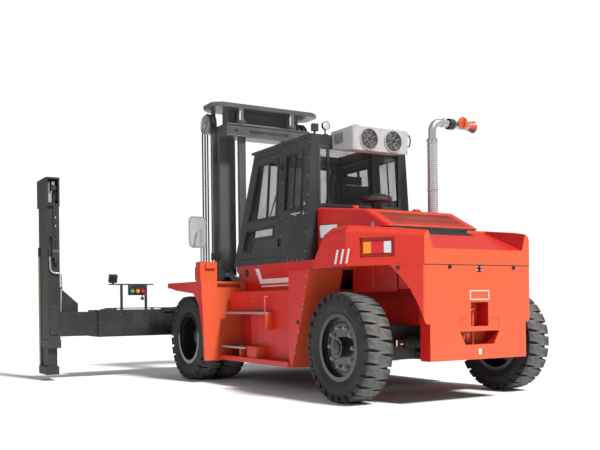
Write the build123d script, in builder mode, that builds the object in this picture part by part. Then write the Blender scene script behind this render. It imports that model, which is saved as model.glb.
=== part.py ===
"""Empty container handler: a four-wheel machine with a two-stage mast and a side spreader.

The front is -Y, the machine's left is +X and the ground is z = 0. Sizes are in millimetres.
"""

from build123d import *
from math import atan2, cos, degrees, radians, sin, sqrt, tan
import os

# Wheels and axles
wheelbase = 3370
front_overhang = 1430
rear_overhang = 770
tyre_radius = 560
tyre_width = 300
rim_radius = 320
rim_wall = 20
rim_flange = 26
front_tyre_x = 1250
twin_spacing = 340
rear_tyre_x = 1070
kingpin_x = 880
kingpin_radius = 40
spindle_radius = 60
pin_clearance = 0.05
running_gap = 6

front_axle_y = -(wheelbase + rear_overhang - front_overhang) / 2
rear_axle_y = front_axle_y + wheelbase
rear_face_y = rear_axle_y + rear_overhang
spreader_front_y = front_axle_y - front_overhang
axle_z = tyre_radius

# Frame and body
rail_x = 330
rail_thick = 45
body_bottom_z = 300
tank_x = 1065
tank_top_z = 1163
frame_top_z = tank_top_z
sill_x = 1230
base_x = 780
cab_floor_z = 1510
seam_z = 1370
cover_top_z = 1780
cover_x = 1190
rear_half = 700
deck_edge_z = 1525
sheet = 20

# Cab
cab_rear_y = front_axle_y + 2100
cab_front_bottom_y = front_axle_y + 210
cab_front_top_y = front_axle_y + 670
cab_roof_z = 3000
cab_half_bottom = 785
cab_half_top = 685
cab_wall = 50
door_rear_y = front_axle_y + 1430
door_sill_z = 1585
door_top_z = 2900
door_gap = 6
glass = 8

# Mast and lift
mast_rear_y = front_axle_y - 420
mast_depth = 200
outer_in_x = 545
outer_out_x = 680
inner_in_x = 430
inner_out_x = 537
channel_web = 28
channel_flange = 28
mast_foot_z = 260
inner_top_z = 3800
outer_top_z = inner_top_z - 230
head_plate = 60
crossbar_height = 190
lift_x = 415
lift_y = front_axle_y - 250
barrel_radius = 60
rod_radius = 42
tilt_y = front_axle_y - 265
tilt_z = 480
tilt_x = 612
tilt_back = 6
sheave_radius = 139
strand_x = (718, 758, 798)
strand_foot_z = 1130
sheave_z = inner_top_z - 200
sheave_y = mast_rear_y - 180

# Spreader
bay_depth = 245
beam_height = 374
beam_bottom_z = 571
beam_wall = 16
sleeve_half = 2320
post_out_x = 3010
post_in_x = 2850
head_out_x = 3030
post_rear_y = front_axle_y - 910
head_rear_y = front_axle_y - 875
head_front_y = spreader_front_y + 45
head_bottom_z = 2360
head_top_z = 2740
foot_bottom_z = 80

SIDES = (("left", 1), ("right", -1))


def span(sign, inner, outer):
    """A pair (low, high) across the machine, given for the left side."""
    return tuple(sorted((sign * inner, sign * outer)))


def block(x, y, z, mode=Mode.ADD):
    """A box between two places on each axis."""
    with Locations(((x[0] + x[1]) / 2, (y[0] + y[1]) / 2, (z[0] + z[1]) / 2)):
        Box(x[1] - x[0], y[1] - y[0], z[1] - z[0], mode=mode)


def side_profile(points, x, mode=Mode.ADD):
    """A closed outline of (y, z) places, solid from x[0] to x[1]."""
    with BuildSketch(Plane.YZ.offset(x[0])) as outline:
        with BuildLine():
            Polyline(*points, close=True)
        make_face()
    extrude(outline.sketch, amount=x[1] - x[0], mode=mode)


def plan_profile(points, z, mode=Mode.ADD):
    """A closed outline of (x, y) places, solid from z[0] to z[1]."""
    with BuildSketch(Plane.XY.offset(z[0])) as outline:
        with BuildLine():
            Polyline(*points, close=True)
        make_face()
    extrude(outline.sketch, amount=z[1] - z[0], mode=mode)


def cross_profile(points, y, mode=Mode.ADD):
    """A closed outline of (x, z) places, solid from y[0] to y[1]."""
    with BuildSketch(Plane.XZ.offset(-y[1])) as outline:
        with BuildLine():
            Polyline(*points, close=True)
        make_face()
    extrude(outline.sketch, amount=y[1] - y[0], mode=mode)


def bar_x(radius, x, y, z, mode=Mode.ADD):
    """A round bar across the machine."""
    with Locations(((x[0] + x[1]) / 2, y, z)):
        Cylinder(radius, x[1] - x[0], rotation=(0, 90, 0), mode=mode)


def bar_y(radius, x, y, z, mode=Mode.ADD):
    """A round bar along the machine."""
    with Locations((x, (y[0] + y[1]) / 2, z)):
        Cylinder(radius, y[1] - y[0], rotation=(90, 0, 0), mode=mode)


def bar_z(radius, x, y, z, mode=Mode.ADD):
    """A round upright bar."""
    with Locations((x, y, (z[0] + z[1]) / 2)):
        Cylinder(radius, z[1] - z[0], mode=mode)


def ring_x(points, y, z, mode=Mode.ADD):
    """A closed outline of (x, radius) places, turned about a cross axis."""
    with BuildSketch(Plane(origin=(0, y, z), x_dir=(1, 0, 0), z_dir=(0, -1, 0))) as outline:
        with BuildLine():
            Polyline(*points, close=True)
        make_face()
    revolve(outline.sketch, axis=Axis((0, y, z), (1, 0, 0)), mode=mode)


def finish(piece, name):
    """Names a finished piece and writes it."""
    piece.part.label = name
    export_step(piece.part, f"parts/{name}.step")


os.makedirs("parts", exist_ok=True)


# Tyres and rims


tread_depth = 22
tread_lugs = 24
lug_length = 96
lug_turn = 9
tread_base = tyre_radius - tread_depth
half_width = tyre_width / 2
bead_half = half_width - 35


def tyre_form():
    """One tyre about the cross axis through the origin, with a bar lug straight below."""
    with BuildPart() as carcass:
        ring_x(
            [
                (-bead_half, rim_radius),
                (-bead_half, rim_radius + rim_flange),
                (-half_width, rim_radius + 110),
                (-half_width + 6, tread_base - 62),
                (-half_width + 34, tread_base),
                (half_width - 34, tread_base),
                (half_width - 6, tread_base - 62),
                (half_width, rim_radius + 110),
                (bead_half, rim_radius + rim_flange),
                (bead_half, rim_radius),
            ],
            0,
            0,
        )
    lugs = []
    for side, sign in SIDES:
        with BuildPart() as lug:
            side_points = [
                (sign * 8, -tread_base + 12),
                (sign * 8, -tyre_radius),
                (sign * (half_width - 26), -tyre_radius),
                (sign * half_width, -tread_base + 12),
                (sign * (half_width - 4), -tread_base + 74),
                (sign * (half_width - 44), -tread_base + 40),
            ]
            cross_profile(side_points, (-lug_length / 2, lug_length / 2))
        turned = lug.part.rotate(Axis.Z, sign * lug_turn)
        for n in range(tread_lugs):
            lugs.append(turned.rotate(Axis.X, n * 360 / tread_lugs))
    with BuildPart() as form:
        add(carcass.part)
        add(lugs)
    return form.part


tyre_shape = tyre_form()


def tyre(x, y):
    """One tyre with its middle at x on the axle at y."""
    with Locations((x, y, axle_z)):
        add(tyre_shape)


def flange(x, y, outward):
    """The upstanding edge that holds a bead, from x outwards."""
    edge = sorted((x, x + outward * 12))
    ring_x(
        [
            (edge[0], rim_radius - rim_wall),
            (edge[0], rim_radius + rim_flange),
            (edge[1], rim_radius + rim_flange),
            (edge[1], rim_radius - rim_wall),
        ],
        y,
        axle_z,
    )


front_disc_x = front_tyre_x - twin_spacing / 2
hub_radius = 150
hub_out_x = front_tyre_x - 20
spindle_end_x = hub_out_x - 35
drive_tube_radius = 125

for side, sign in SIDES:
    with BuildPart() as front_tyres:
        tyre(sign * front_tyre_x, front_axle_y)
        tyre(sign * (front_tyre_x - twin_spacing), front_axle_y)
    finish(front_tyres, f"front_tyres_{side}")

    band_in = front_tyre_x - twin_spacing - bead_half
    band_out = front_tyre_x + bead_half
    with BuildPart() as front_rims:
        ring_x(
            [
                (sign * band_in, rim_radius - rim_wall),
                (sign * band_in, rim_radius),
                (sign * band_out, rim_radius),
                (sign * band_out, rim_radius - rim_wall),
            ],
            front_axle_y,
            axle_z,
        )
        for centre in (front_tyre_x, front_tyre_x - twin_spacing):
            for outward in (1, -1):
                flange(sign * (centre + outward * bead_half), front_axle_y, sign * outward)
        bar_x(rim_radius - rim_wall + 1, span(sign, front_disc_x - 15, front_disc_x + 15), front_axle_y, axle_z)
        bar_x(hub_radius, span(sign, front_disc_x - 15, hub_out_x), front_axle_y, axle_z)
        bar_x(
            spindle_radius + pin_clearance,
            span(sign, front_disc_x - 15, spindle_end_x + running_gap),
            front_axle_y,
            axle_z,
            mode=Mode.SUBTRACT,
        )
    finish(front_rims, f"front_rims_{side}")

# Drive axle

drive_tube_end_x = front_disc_x - 15 - running_gap
with BuildPart() as drive_axle:
    bar_x(drive_tube_radius, (-drive_tube_end_x, drive_tube_end_x), front_axle_y, axle_z)
    bar_x(spindle_radius, (-spindle_end_x, spindle_end_x), front_axle_y, axle_z)
    ring_x(
        [
            (-230, 0),
            (-230, drive_tube_radius + 8),
            (-110, 188),
            (110, 188),
            (230, drive_tube_radius + 8),
            (230, 0),
        ],
        front_axle_y,
        axle_z,
    )
    for side, sign in SIDES:
        block(
            span(sign, rail_x - 30, rail_x + rail_thick + 120),
            (front_axle_y - 130, front_axle_y + 130),
            (axle_z, 720),
        )
finish(drive_axle, "drive_axle")

# Steering axle

steer_plate_half = 100
steer_top = (710, 770)
steer_bottom = (410, 490)
steer_cylinder_y = rear_axle_y + 175
steer_cylinder_z = 590
steer_cylinder_radius = 65
steer_barrel_half = 330
steer_rod_radius = 28
steer_rod_half = 590
steer_stroke = 110
boot_folds = 12
boot_radius = (62, 48)
axle_end = ((-60, steer_plate_half), (50, 40))
with BuildPart() as steer_axle:
    for z in (steer_bottom, steer_top):
        plan_profile(
            [
                (across * (kingpin_x + out), rear_axle_y + along * half)
                for across, along, ends in (
                    (1, -1, axle_end),
                    (1, 1, tuple(reversed(axle_end))),
                    (-1, 1, axle_end),
                    (-1, -1, tuple(reversed(axle_end))),
                )
                for out, half in ends
            ],
            z,
        )
    block(
        (-kingpin_x + 210, kingpin_x - 210),
        (rear_axle_y - steer_plate_half, rear_axle_y + steer_plate_half),
        (steer_bottom[1], steer_top[0]),
    )
    block((-300, 300), (rear_axle_y + steer_plate_half, steer_cylinder_y + 40), steer_bottom)
    block(
        (-220, 220),
        (rear_axle_y + steer_plate_half, steer_cylinder_y + 40),
        (steer_bottom[1], steer_cylinder_z - 20),
    )
    bar_x(steer_cylinder_radius, (-steer_barrel_half, steer_barrel_half), steer_cylinder_y, steer_cylinder_z)
    bar_x(
        steer_rod_radius + pin_clearance,
        (-steer_barrel_half, steer_barrel_half),
        steer_cylinder_y,
        steer_cylinder_z,
        mode=Mode.SUBTRACT,
    )
    for side, sign in SIDES:
        for n in range(boot_folds):
            bar_x(
                boot_radius[n % 2],
                span(sign, steer_barrel_half + n * 9, steer_barrel_half + (n + 1) * 9),
                steer_cylinder_y,
                steer_cylinder_z,
            )
        bar_x(
            steer_rod_radius + 4,
            span(sign, steer_barrel_half, steer_barrel_half + boot_folds * 9 + 1),
            steer_cylinder_y,
            steer_cylinder_z,
            mode=Mode.SUBTRACT,
        )
        bar_z(
            kingpin_radius + pin_clearance,
            sign * kingpin_x,
            rear_axle_y,
            (steer_bottom[0], steer_top[1]),
            mode=Mode.SUBTRACT,
        )
finish(steer_axle, "steer_axle")

with BuildPart() as steer_rod:
    bar_x(steer_rod_radius, (-steer_rod_half, steer_rod_half), steer_cylinder_y, steer_cylinder_z)
    for side, sign in SIDES:
        bar_z(38, sign * steer_rod_half, steer_cylinder_y, (steer_cylinder_z - 30, steer_cylinder_z + 30))
finish(steer_rod, "steer_rod")

knuckle_gap = 5
rear_spindle_end = rear_tyre_x + 80
rear_disc_x = rear_tyre_x + 60
rear_hub_out = rear_tyre_x + 145
rear_hub_in = kingpin_x + 60 + running_gap
for side, sign in SIDES:
    with BuildPart() as knuckle:
        bar_z(kingpin_radius, sign * kingpin_x, rear_axle_y, (steer_bottom[0], steer_top[1]))
        block(
            span(sign, kingpin_x - 70, kingpin_x + 60),
            (rear_axle_y - 70, rear_axle_y + 70),
            (steer_bottom[1] + knuckle_gap, steer_top[0] - knuckle_gap),
        )
        bar_x(spindle_radius, span(sign, kingpin_x + 60, rear_spindle_end), rear_axle_y, axle_z)
        block(
            span(sign, kingpin_x - 50, kingpin_x),
            (rear_axle_y + 70, rear_axle_y + 190),
            (steer_top[0] - 50, steer_top[0] - knuckle_gap),
        )
    finish(knuckle, f"knuckle_{side}")

    with BuildPart() as rear_tyre:
        tyre(sign * rear_tyre_x, rear_axle_y)
    finish(rear_tyre, f"rear_tyre_{side}")

    with BuildPart() as rear_rim:
        ring_x(
            [
                (sign * (rear_tyre_x - bead_half), rim_radius - rim_wall),
                (sign * (rear_tyre_x - bead_half), rim_radius),
                (sign * (rear_tyre_x + bead_half), rim_radius),
                (sign * (rear_tyre_x + bead_half), rim_radius - rim_wall),
            ],
            rear_axle_y,
            axle_z,
        )
        for outward in (1, -1):
            flange(sign * (rear_tyre_x + outward * bead_half), rear_axle_y, sign * outward)
        bar_x(rim_radius - rim_wall + 1, span(sign, rear_disc_x - 10, rear_disc_x + 10), rear_axle_y, axle_z)
        bar_x(105, span(sign, rear_hub_in, rear_hub_out), rear_axle_y, axle_z)
        bar_x(
            spindle_radius + pin_clearance,
            span(sign, rear_hub_in, rear_spindle_end + running_gap),
            rear_axle_y,
            axle_z,
            mode=Mode.SUBTRACT,
        )
    finish(rear_rim, f"rear_rim_{side}")

# Chassis frame

rail_front_y = lift_y + barrel_radius + (frame_top_z - tilt_z) * sin(radians(tilt_back)) + 10
front_cross_rear_y = front_axle_y + 215
rail_rear_y = rear_axle_y + 285
ear_gap = 1
lug_x = (tilt_x - 48, tilt_x + 48)
ear_thick = 28
tilt_cylinder_y = front_axle_y + 190
tilt_cylinder_z = 1290
mast_eye_y = mast_rear_y + 60
mast_eye_z = 1420
with BuildPart() as chassis_frame:
    for side, sign in SIDES:
        side_profile(
            [
                (rail_front_y, 720),
                (front_cross_rear_y, 720),
                (front_cross_rear_y + 260, 400),
                (rear_axle_y - 950, 400),
                (rear_axle_y - 420, 770),
                (rail_rear_y, 770),
                (rail_rear_y, frame_top_z),
                (rail_front_y, frame_top_z),
            ],
            span(sign, rail_x, rail_x + rail_thick),
        )
        for inner in (lug_x[0] - ear_gap - ear_thick, lug_x[1] + ear_gap):
            side_profile(
                [
                    (rail_front_y + 45, 770),
                    (tilt_y + 60, tilt_z - 50),
                    (tilt_y, tilt_z - 75),
                    (tilt_y - 55, tilt_z),
                    (tilt_y - 40, tilt_z + 60),
                    (rail_front_y + 5, 930),
                ],
                span(sign, inner, inner + ear_thick),
            )
            side_profile(
                [
                    (tilt_cylinder_y - 60, frame_top_z - 10),
                    (tilt_cylinder_y - 45, tilt_cylinder_z + 45),
                    (tilt_cylinder_y + 45, tilt_cylinder_z + 45),
                    (tilt_cylinder_y + 60, frame_top_z - 10),
                ],
                span(sign, inner, inner + ear_thick),
            )
        bar_x(40, span(sign, lug_x[0] - ear_gap - ear_thick, lug_x[1] + ear_gap + ear_thick), tilt_y, tilt_z)
        bar_x(
            32,
            span(sign, lug_x[0] - ear_gap - ear_thick, lug_x[1] + ear_gap + ear_thick),
            tilt_cylinder_y,
            tilt_cylinder_z,
        )
    block((-740, 740), (rail_front_y, front_cross_rear_y + 60), (760, frame_top_z))
    block((-rail_x, rail_x), (rear_axle_y - 330, rear_axle_y - 280), (780, frame_top_z))
    block((-rail_x, rail_x), (rail_rear_y - 60, rail_rear_y), (780, frame_top_z))
finish(chassis_frame, "chassis_frame")

with BuildPart() as engine_block:
    block((-rail_x + 20, rail_x - 20), (front_axle_y + 1950, rear_axle_y - 380), (620, 1420))
    for side, sign in SIDES:
        block(
            span(sign, rail_x - 20, rail_x),
            (front_axle_y + 2200, front_axle_y + 2300),
            (880, 980),
        )
finish(engine_block, "engine_block")

# Counterweight

well_radius = 668
weight_bottom_z = 430
tow_y = rear_face_y - 110
tow_radius = 48
tow_recess_z = (760, 1000)
tow_slot_z = (578, 711)
arch_points = ((rear_axle_y + 500, seam_z), (rear_axle_y + 660, 1120), (rear_face_y, 790))
with BuildPart() as counterweight:
    plan_profile(
        [
            (-rear_half, rear_face_y),
            (rear_half, rear_face_y),
            (rear_half + 330, rear_face_y - 418),
            (rear_half + 330, rail_rear_y),
            (-rear_half - 330, rail_rear_y),
            (-rear_half - 330, rear_face_y - 418),
        ],
        (weight_bottom_z, seam_z),
    )
    fillet(counterweight.edges().filter_by(Axis.Z).filter_by_position(Axis.Y, rear_face_y - 1, rear_face_y + 1), 45)
    for side, sign in SIDES:
        with BuildSketch(Plane.YZ.offset(min(sign * 640, sign * 1200))) as arch:
            with BuildLine():
                Polyline((rear_face_y, 790), (rear_face_y + 100, 790), (rear_face_y + 100, 300))
                Polyline((rear_face_y + 100, 300), (rail_rear_y - 50, 300), (rail_rear_y - 50, seam_z))
                Line((rail_rear_y - 50, seam_z), arch_points[0])
                ThreePointArc(*arch_points)
            make_face()
        extrude(arch.sketch, amount=560, mode=Mode.SUBTRACT)
        bar_z(well_radius, sign * kingpin_x, rear_axle_y, (weight_bottom_z - 1, 1140), mode=Mode.SUBTRACT)
    bar_z(tow_radius, 0, tow_y, (weight_bottom_z - 1, seam_z - 300), mode=Mode.SUBTRACT)
    block((-115, 115), (rear_face_y - 170, rear_face_y + 1), tow_recess_z, mode=Mode.SUBTRACT)
    cross_profile(
        [(-263, tow_slot_z[1]), (263, tow_slot_z[1]), (190, tow_slot_z[0]), (-190, tow_slot_z[0])],
        (rear_face_y - 180, rear_face_y + 1),
        mode=Mode.SUBTRACT,
    )
    block((-36, 36), (rear_face_y - 60, rear_face_y + 1), (seam_z - 70, seam_z + 1), mode=Mode.SUBTRACT)
finish(counterweight, "counterweight")

# Rear cover over the steered wheels

cover_front_y = rear_axle_y - 470
corner_y = rear_axle_y + 150
corner_turn = degrees(atan2(cover_x - rear_half, rear_face_y - corner_y))
lamp_size = (285, 125)
lamp_depth = 26
pan_size = (357, 190)
pan_depth = 58
lamp_x = 990
lamp_y = corner_y + (cover_x - lamp_x) / tan(radians(corner_turn))
lamp_z = 1548


def lamp_place(sign):
    """The middle of a tail lamp's recess on the cover's corner face, local x across the face."""
    return Location((sign * lamp_x, lamp_y, lamp_z), (0, 0, sign * corner_turn))



cover_round = 75


def cover_form(inset):
    """The outer form of the rear cover, or that form drawn in by a wall."""
    with BuildPart() as form:
        side_profile(
            [
                (cover_front_y + inset, seam_z - (1 if inset else 0)),
                (cover_front_y + 80 + inset, 1600),
                (cover_front_y + 190 + inset, 1730 - inset),
                (cover_front_y + 330 + inset, cover_top_z - inset),
                (corner_y, cover_top_z - inset),
                (rear_face_y - inset, 1700 - inset),
                (rear_face_y - inset, seam_z - (1 if inset else 0)),
            ],
            (-cover_x, cover_x),
        )
        plan_profile(
            [
                (cover_x - inset, cover_front_y - 10),
                (cover_x - inset, corner_y - inset / 2),
                (rear_half - inset / 2, rear_face_y - inset),
                (-rear_half + inset / 2, rear_face_y - inset),
                (-cover_x + inset, corner_y - inset / 2),
                (-cover_x + inset, cover_front_y - 10),
            ],
            (seam_z - 2, cover_top_z + 10),
            mode=Mode.INTERSECT,
        )
        rims = [e for e in form.edges() if e.center().Z > 1500 and abs(e.center().X) > rear_half - 60]
        rims = [e for e in rims if abs(e.tangent_at(0.5).Z) < 0.95]
        fillet(rims, cover_round - inset)
    return form.part


hood_x = 630
hood_gap = 6
deck_half = 580
bay_rear_y = rear_axle_y + 100
outer_cover = cover_form(0)
inner_cover = cover_form(sheet)
with BuildPart() as rear_cover:
    add(outer_cover)
    with BuildPart(mode=Mode.PRIVATE) as deck_cut:
        side_profile(
            [
                (bay_rear_y + 60, cover_top_z + 10),
                (bay_rear_y + 60, cover_top_z - 25),
                (rear_face_y + 5, deck_edge_z),
                (rear_face_y + 5, cover_top_z + 10),
            ],
            (-rear_half, rear_half),
        )
        cross_profile(
            [
                (-deck_half, deck_edge_z - 60),
                (deck_half, deck_edge_z - 60),
                (deck_half + 90, cover_top_z + 10),
                (-deck_half - 90, cover_top_z + 10),
            ],
            (bay_rear_y, rear_face_y + 10),
            mode=Mode.INTERSECT,
        )
    add(deck_cut.part, mode=Mode.SUBTRACT)
    with BuildPart(mode=Mode.PRIVATE) as inner:
        add(inner_cover)
        with BuildPart(mode=Mode.PRIVATE) as deck_keep:
            side_profile(
                [
                    (bay_rear_y + 40, cover_top_z + 10),
                    (bay_rear_y + 40, cover_top_z - 45),
                    (rear_face_y + 5, deck_edge_z - 22),
                    (rear_face_y + 5, cover_top_z + 10),
                ],
                (-rear_half - 30, rear_half + 30),
            )
            cross_profile(
                [
                    (-deck_half - 26, deck_edge_z - 90),
                    (deck_half + 26, deck_edge_z - 90),
                    (deck_half + 118, cover_top_z + 12),
                    (-deck_half - 118, cover_top_z + 12),
                ],
                (bay_rear_y, rear_face_y + 10),
                mode=Mode.INTERSECT,
            )
        add(deck_keep.part, mode=Mode.SUBTRACT)
    add(inner.part, mode=Mode.SUBTRACT)
    block(
        (-hood_x - hood_gap, hood_x + hood_gap),
        (cover_front_y - 5, bay_rear_y),
        (seam_z - 5, cover_top_z + 5),
        mode=Mode.SUBTRACT,
    )
    for side, sign in SIDES:
        with Locations(lamp_place(sign)):
            with Locations((-sign * pan_depth / 2, 0, 0)):
                Box(pan_depth, pan_size[0] + 32, pan_size[1] + 32)
            with Locations((-sign * (pan_depth - sheet) / 2 + sign * 10, 0, 0)):
                Box(pan_depth - sheet + 20, *pan_size, mode=Mode.SUBTRACT)
finish(rear_cover, "rear_cover")

# Hood

hood_front_y = cab_rear_y + 22
lid_front_y = hood_front_y + 505
hood_rear_y = rear_axle_y + 95
hood_front_z = 2130
hood_mid_z = 2020
hood_rear_z = 1815
hood_mid_y = rear_axle_y - 310
hood_bottom_z = cab_floor_z + sheet


def hood_top_z(y):
    """Height of the hood's top over the stretch ahead of the grille."""
    return hood_front_z + (y - hood_front_y) * (hood_mid_z - hood_front_z) / (hood_mid_y - hood_front_y)


hood_round = 45


def round_hood(form, radius):
    """Rounds the two long upper edges of a hood form."""
    long_edges = [e for e in form.edges() if abs(e.tangent_at(0.5).Y) > 0.5 and e.center().Z > 1810]
    fillet([e for e in long_edges if abs(abs(e.center().X) - hood_x) < sheet + 1], radius)


hood_hinge_y = lid_front_y - 2
hood_hinge_z = hood_top_z(lid_front_y) + 22
hood_barrel_radius = 14
hood_pin_radius = 8


def hood_leaf(side, x):
    """A hinge leaf and barrel: side -1 lies on the cowl, side 1 on the lid."""
    edge_y = hood_hinge_y + side * 8
    far_y = hood_hinge_y + side * 64
    side_profile(
        [
            (far_y, hood_top_z(far_y) - 3),
            (far_y, hood_top_z(far_y) + 6),
            (hood_hinge_y, hood_hinge_z + hood_barrel_radius - 2),
            (hood_hinge_y, hood_hinge_z - 4),
            (edge_y, hood_top_z(edge_y) - 3),
        ],
        x,
    )
    bar_x(hood_barrel_radius, x, hood_hinge_y, hood_hinge_z)


with BuildPart() as hood_cowl:
    side_profile(
        [
            (hood_front_y, hood_bottom_z),
            (hood_front_y, hood_front_z),
            (lid_front_y - 4, hood_top_z(lid_front_y - 4)),
            (lid_front_y - 4, hood_bottom_z),
        ],
        (-hood_x, hood_x),
    )
    round_hood(hood_cowl, hood_round)
    with BuildPart(mode=Mode.PRIVATE) as cowl_hollow:
        side_profile(
            [
                (hood_front_y + sheet, hood_bottom_z - 1),
                (hood_front_y + sheet, hood_front_z - sheet),
                (lid_front_y - 4 - sheet, hood_top_z(lid_front_y - 4) - sheet),
                (lid_front_y - 4 - sheet, hood_bottom_z - 1),
            ],
            (-hood_x + sheet, hood_x - sheet),
        )
        round_hood(cowl_hollow, hood_round - sheet)
    add(cowl_hollow.part, mode=Mode.SUBTRACT)
    for side, sign in SIDES:
        hood_leaf(-1, span(sign, 400, 440))
        bar_x(hood_pin_radius + pin_clearance, span(sign, 399, 441), hood_hinge_y, hood_hinge_z, Mode.SUBTRACT)
finish(hood_cowl, "hood_cowl")

lid_bottom_z = 1800
grille_half = 470
grille_bars = 9
grille_y = (hood_mid_y + 45, hood_rear_y - 115)


def grille_top_z(y):
    """Height of the hood's sloping rear part."""
    return hood_mid_z + (y - hood_mid_y) * (hood_rear_z - hood_mid_z) / (hood_rear_y - hood_mid_y)


with BuildPart() as hood_lid:
    side_profile(
        [
            (lid_front_y, lid_bottom_z),
            (lid_front_y, hood_top_z(lid_front_y)),
            (hood_mid_y, hood_mid_z),
            (hood_rear_y, hood_rear_z),
            (hood_rear_y, lid_bottom_z),
        ],
        (-hood_x, hood_x),
    )
    round_hood(hood_lid, hood_round)
    with BuildPart(mode=Mode.PRIVATE) as lid_hollow:
        side_profile(
            [
                (lid_front_y + sheet, lid_bottom_z - 1),
                (lid_front_y + sheet, hood_top_z(lid_front_y) - sheet),
                (hood_mid_y, hood_mid_z - sheet),
                (hood_rear_y - 90, hood_rear_z + 25),
                (hood_rear_y - 90, lid_bottom_z - 1),
            ],
            (-hood_x + sheet, hood_x - sheet),
        )
        round_hood(lid_hollow, hood_round - sheet)
    add(lid_hollow.part, mode=Mode.SUBTRACT)
    block((-grille_half, grille_half), grille_y, (hood_rear_z - 5, hood_mid_z), mode=Mode.SUBTRACT)
    for n in range(grille_bars + 1):
        y = grille_y[0] + n * (grille_y[1] - grille_y[0]) / grille_bars
        side_profile(
            [
                (y - 7, grille_top_z(y - 7) - 16),
                (y + 7, grille_top_z(y + 7) - 16),
                (y + 7, grille_top_z(y + 7) - 2),
                (y - 7, grille_top_z(y - 7) - 2),
            ],
            (-grille_half - 2, grille_half + 2),
        )
    for side, sign in SIDES:
        hood_leaf(1, span(sign, 441, 481))
        bar_x(hood_pin_radius, span(sign, 399, 481), hood_hinge_y, hood_hinge_z)
finish(hood_lid, "hood_lid")

louvres = 7
louvre_y = (lid_front_y + 60, lid_front_y + 340)
with BuildPart() as engine_bay:
    for side, sign in SIDES:
        block(
            span(sign, hood_x - sheet, hood_x),
            (lid_front_y, hood_rear_y - 140),
            (hood_bottom_z, lid_bottom_z - 6),
        )
        for n in range(louvres):
            block(
                span(sign, hood_x - sheet - 1, hood_x + 1),
                louvre_y,
                (hood_bottom_z + 70 + n * 24, hood_bottom_z + 82 + n * 24),
                mode=Mode.SUBTRACT,
            )
    block((-hood_x, hood_x), (hood_front_y, hood_rear_y - 140), (hood_bottom_z - sheet, hood_bottom_z))
finish(engine_bay, "engine_bay")

with BuildPart() as pre_cleaner:
    bar_z(60, 0, hood_front_y + 310, (hood_top_z(hood_front_y + 310) + 8, 2200))
    bar_z(180, 0, hood_front_y + 310, (2195, 2235))
    bar_z(110, 0, hood_front_y + 310, (2230, 2275))
finish(pre_cleaner, "pre_cleaner")

# Side tanks, body under the cab, front fenders

fender_rear_y = front_axle_y + 680
tank_front_y = fender_rear_y
tank_rear_y = rear_axle_y - 950
base_front_y = cab_front_bottom_y + 75
strip_x = 1210
for side, sign in SIDES:
    with BuildPart() as side_tank:
        block(
            span(sign, rail_x + rail_thick, tank_x),
            (tank_front_y + 560, tank_rear_y),
            (body_bottom_z + 60, tank_top_z),
        )
        block(
            span(sign, rail_x + rail_thick, tank_x - 180),
            (tank_front_y, tank_front_y + 560),
            (body_bottom_z + 60, tank_top_z),
        )
        block(span(sign, tank_x - 180, tank_x), (tank_front_y, tank_front_y + 560), (905, tank_top_z))
        block(span(sign, tank_x - 240, sill_x), (tank_front_y, tank_rear_y), (body_bottom_z, body_bottom_z + 60))
        block(span(sign, tank_x - 190, sill_x - 20), (tank_front_y, tank_front_y + 470), (455, 480))
        block(span(sign, tank_x - 190, sill_x - 60), (tank_front_y + 20, tank_front_y + 470), (880, 905))
        block(span(sign, tank_x - 5, sill_x - 40), (tank_front_y + 470, tank_front_y + 530), (body_bottom_z + 55, 500))
        bar_z(11, sign * (tank_x + 55), tank_front_y + 1015, (865, 1100))
        for z in (876, 1089):
            bar_x(11, span(sign, tank_x - 2, tank_x + 55), tank_front_y + 1015, z)
        side_profile(
            [
                (tank_rear_y, body_bottom_z),
                (tank_rear_y, seam_z - 6),
                (tank_rear_y + 450, seam_z - 6),
                (tank_rear_y + 60, body_bottom_z),
            ],
            span(sign, base_x + 1, strip_x),
        )
    finish(side_tank, f"side_tank_{side}")

    fender_out = 1440
    fender_top_z = 1305
    fender_inner_x = 790
    handhold_x = (885, 1215)
    handhold_z = (1226, 1274)
    liner = (
        (fender_rear_y - 40, body_bottom_z - 10),
        (fender_rear_y - 70, 620),
        (fender_rear_y - 190, 1000),
        (front_axle_y + 330, 1150),
        (front_axle_y - 260, 1200),
        (front_axle_y - 500, 1240),
    )
    with BuildPart() as front_fender:
        side_profile(
            [
                *liner,
                (front_axle_y - 510, fender_top_z),
                (fender_rear_y - 100, fender_top_z),
                (fender_rear_y, body_bottom_z - 10),
            ],
            span(sign, fender_inner_x, fender_out),
        )
        side_profile(
            [
                (fender_rear_y - 140, handhold_z[0]),
                (fender_rear_y + 10, handhold_z[0]),
                (fender_rear_y + 10, handhold_z[1]),
                (fender_rear_y - 140, handhold_z[1]),
            ],
            span(sign, *handhold_x),
            mode=Mode.SUBTRACT,
        )
        block(
            span(sign, fender_out - 14, fender_out),
            (front_axle_y - 560, front_axle_y - 500),
            (1235, fender_top_z),
        )
        block(
            span(sign, fender_out - 200, fender_out - 60),
            (front_axle_y + 580, front_axle_y + 606),
            (1470, 1548),
        )
        block(
            span(sign, fender_out - 230, fender_out + 10),
            (front_axle_y + 440, front_axle_y + 580),
            (fender_top_z, 1555),
        )
        block(
            span(sign, 740, fender_inner_x),
            (front_axle_y - 100, front_axle_y + 260),
            (fender_top_z - 60, fender_top_z),
        )
        block(
            span(sign, 700, 740),
            (front_axle_y - 100, front_axle_y + 260),
            (frame_top_z, fender_top_z),
        )
    finish(front_fender, f"front_fender_{side}")

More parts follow.
